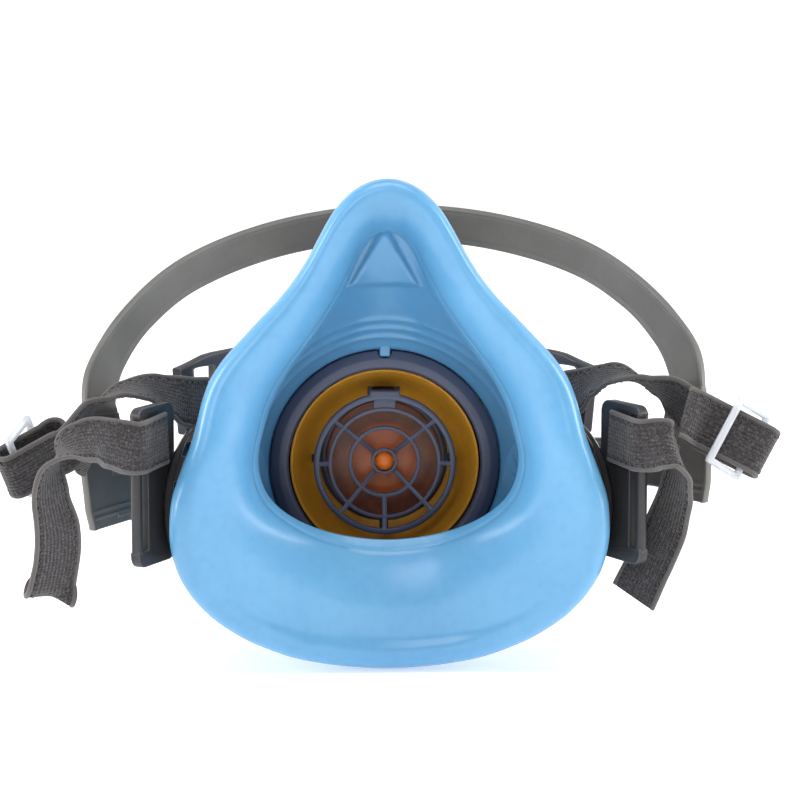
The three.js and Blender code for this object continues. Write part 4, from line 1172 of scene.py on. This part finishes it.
def pleated_pad():
    """particulate media folded into narrow pleats inside its round edge"""
    verts, faces, R, n = [], [], 32.8, 150
    rings = 40
    for s in (0, 1):
        for i in range(rings + 1):
            r = R * i / rings
            for k in range(n):
                a = 2 * math.pi * k / n
                x, z = r * math.cos(a), r * math.sin(a)
                fade = min(1.0, (R - r) / 2.5)
                w = 0.5 - 0.5 * math.cos(2 * math.pi * x / 3.2)
                y = 53.7 + 0.02 if s == 0 else 64.6 - 1.1 * (1 - w) * fade - 0.02
                verts.append((x, y, z))
    K = (rings + 1) * n
    for s in (0, 1):
        for i in range(rings):
            for k in range(n):
                a, b = s * K + i * n + k, s * K + i * n + (k + 1) % n
                faces.append((a, b, b + n, a + n))
    for k in range(n):
        a, b = rings * n + k, rings * n + (k + 1) % n
        faces.append((a, b, K + b, K + a))
    ob = new_object("filter_media_pad", verts, faces)
    bm = bmesh.new()
    bm.from_mesh(ob.data)
    bmesh.ops.remove_doubles(bm, verts=bm.verts[:], dist=1e-6)
    bmesh.ops.recalc_face_normals(bm, faces=bm.faces[:])
    bm.to_mesh(ob.data)
    bm.free()
    return by_angle(ob, 60)


pad_ob = keep(pleated_pad(), "mask", "filter_pad", slot="filter_media", mat=MEDIA)
cap = lathe("filter_cap_cover", [(0, 65.2), (33.4, 65.2), (35.4, 63.6), (35.4, 54.8), (36.7, 54.8), (36.7, 48.4), (38.5, 48.4),
                                 (38.5, 64.5), (36.2, 67.2), (30, 68.0), (29.0, 68.0), (28.6, 67.6), (7.6, 67.6), (7.2, 68.0), (0, 68.0)], 180, closed=False, r=0.6, n=4)
for k, rad, cnt, off in ((0, 13, 6, 0.0), (1, 24, 12, 0.5)):
    for i in range(cnt):
        a = (i + off) * 2 * math.pi / cnt
        c = lathe("x", disc(2.8, 60, 72), 32, Matrix.Translation((rad * math.cos(a), 0, rad * math.sin(a))), closed=False, r=0)
        cut(cap, c)
ribs = [soften(y_box(i * math.pi / 6, 2.2, 38.0, 39.6, 50, 62), 0.5, 3) for i in range(12)]
cap = join("filter_cap_cover", [cap, *ribs], union=True)
soften(cap, 0.25, 2, 60)
keep(by_angle(cap), "filter_cap_body", "filter_cap", slot="shell_plastic", mat=SHELLM)

# ------------------------------------------------------------------ head cradle
CR = Matrix.Translation((2.5, 1.6, 4)) @ Matrix.Rotation(-0.04, 4, "Y")


def both(lst):
    return [[-s[0], s[1], s[2], -s[3], s[4], s[5]] for s in lst] + [list(s) for s in lst[:-1][::-1]]


def rimmed(w, t, lip=1.0, rise=0.38):
    """band section with a raised rounded rim along both edges"""
    h, b = w / 2, t / 2
    body = b - rise
    top = [(-h, 0), (-h, b * 0.55), (-h + 0.22, b * 0.9), (-h + 0.55, b), (-h + lip, b * 0.97), (-h + lip + 0.45, body + 0.05), (-h + lip + 1.0, body)]
    top += [(x, body) for x in np.linspace(-h + lip + 2, h - lip - 2, 5)]
    top += [(-x, y) for x, y in top[6::-1]]
    bottom = [(-x, -y) for x, y in top]
    out = []
    for p in top + bottom:
        if not out or math.hypot(p[0] - out[-1][0], p[1] - out[-1][1]) > 1e-4:
            out.append(p)
    if math.hypot(out[0][0] - out[-1][0], out[0][1] - out[-1][1]) < 1e-4:
        out.pop()
    return out


crown_half = [[73.2, 13.9, 8.0, 0.69, -0.72, 0.10], [73.3, 14.2, 12.0, 0.68, -0.71, 0.18], [73.4, 14.6, 16.0, 0.66, -0.70, 0.26], [73.6, 18.0, 20.0, 0.58, -0.68, 0.44], [70.4, 33, 28.4, 0.36, -0.60, 0.70], [63.0, 46, 37.0, 0.2, -0.55, 0.80],
              [50.5, 62, 45.0, 0.1, -0.5, 0.86], [27, 79, 51.6, 0.03, -0.47, 0.88], [0, 85, 54.0, 0, -0.46, 0.89]]
crown, _ = band("x", both(crown_half), 280, rimmed(11, 2.0), 11, M=CR)
rear_half = [[71.2, 14.4, -5.4, 0.5, -0.5, 0.8], [69.0, 16.8, -5.2, 0.2, -0.2, 1], [66.2, 20.6, -4.9, 0, 0, 1], [62.5, 28.5, -5.5, 0, 0, 1], [55.0, 48, -8, 0, 0.05, 1], [40, 72, -11, 0, 0.1, 1], [20, 88, -13, 0, 0.1, 1], [0, 93.5, -14, 0, 0.1, 1]]
rear, _ = band("x", both(rear_half), 260, rimmed(12, 2.0), 12, M=CR)
parts_ = [crown, rear]
for sign, tag in ((-1, "L"), (1, "R")):
    st = [[sign * 73.3, 13.9, 15.0, sign * 0.67, -0.71, 0.2], [sign * 73.2, 13.6, 13.2, sign * 0.68, -0.72, 0.12], [sign * 73.0, 13.2, 6, sign * 0.69, -0.72, 0], [sign * 72.4, 13.4, -4, sign * 0.69, -0.72, 0], [sign * 72.0, 13.8, -13, sign * 0.69, -0.72, 0]]

    def wat(t):
        return 0.74 + 0.26 * float(smoothstep(0.0, 0.45, t)) - 0.10 * float(smoothstep(0.8, 1.0, t))
    pl, fr = band("x", st, 100, rimmed(15, 2.4, 1.1, 0.4), 15, width_at=wat, M=CR)
    C, T, W, N, L = fr
    parts_.append(pl)
    for f in (0.09, 0.84, 0.90):
        i = int(f * (len(C) - 1))
        k = wat(f)
        for dn in (-1, 1):
            m = Matrix((Vector(W[i]), Vector(T[i]), Vector(N[i]))).transposed().to_4x4()
            m.translation = Vector(C[i]) + Vector(N[i]) * dn * 0.85
            parts_.append(soften(cuboid("x", -7.0 * k, 7.0 * k, -0.4, 0.4, -0.33, 0.33, CR @ m), 0.2, 2))
cradle_ob = join("head_cradle_moulding", parts_, union=True)
keep(by_angle(cradle_ob), "cradle", "crown_band", "rear_band", "cradle_plate_L", "cradle_plate_R", slot="cradle_plastic", mat=CRADLE)

# ------------------------------------------------------------------ carried-over CAD nodes
for tag in "LR":
    for n, m in (("exhale_seat_" + tag, SLATE), ("exhale_flap_" + tag, ORANGE)):
        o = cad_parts[n]
        o.data.materials.clear()
        o.data.materials.append(m)

# ------------------------------------------------------------------ floor and light
low = min(v.z for v in (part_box("facepiece")[0],)) - 0.0004


def studio_floor():
    prof = [(-3.0, 0.0)] + [(-2.0 + 0.5 * i, 0.0) for i in range(8)]
    R, y0 = 0.9, 2.0
    prof += [(y0 + R * math.sin(math.radians(a)), R - R * math.cos(math.radians(a))) for a in range(0, 91, 5)]
    prof += [(y0 + R, 3.5)]
    verts, faces = [], []
    for x in (-3.5, 3.5):
        for y, z in prof:
            verts.append((x / MM, y / MM, (z + low) / MM))
    n = len(prof)
    for i in range(n - 1):
        faces.append((i, n + i, n + i + 1, i + 1))
    ob = new_object("floor", verts, faces)
    M = Mat("floor_paint")
    M.set(Base_Color=M.mix(M.noise(3, 2), (0.90, 0.90, 0.905), (0.93, 0.93, 0.93)), Roughness=0.75, Specular_IOR_Level=0.2, Emission_Color=(0.97, 0.98, 1.0), Emission_Strength=0.42)
    ob.data.materials.append(M.m)
    return ob


floor = studio_floor()

world = bpy.data.worlds.new("studio")
scene.world = world
world.use_nodes = True
world.node_tree.nodes["Background"].inputs[0].default_value = (0.95, 0.97, 1.0, 1)
world.node_tree.nodes["Background"].inputs[1].default_value = 0.36


def area(name, loc, size, power, aim=(0, 0, 0.01), color=(1, 1, 1)):
    d = bpy.data.lights.new(name, "AREA")
    d.shape, d.size, d.size_y, d.energy, d.color = "RECTANGLE", size[0], size[1], power, color
    o = bpy.data.objects.new(name, d)
    scene.collection.objects.link(o)
    o.location = loc
    o.rotation_euler = (Vector(aim) - Vector(loc)).to_track_quat("-Z", "Y").to_euler()
    return o


area("key_left", (-1.15, -0.05, 0.45), (0.5, 1.0), 13.0)
area("key_right", (1.15, -0.05, 0.45), (0.5, 1.0), 13.0)
area("top", (0, -0.25, 1.25), (1.0, 0.8), 8.5)
area("front", (-0.35, -1.4, 0.75), (0.7, 0.5), 4.2)
scene.view_settings.view_transform = "Standard"
scene.view_settings.exposure = 0.0
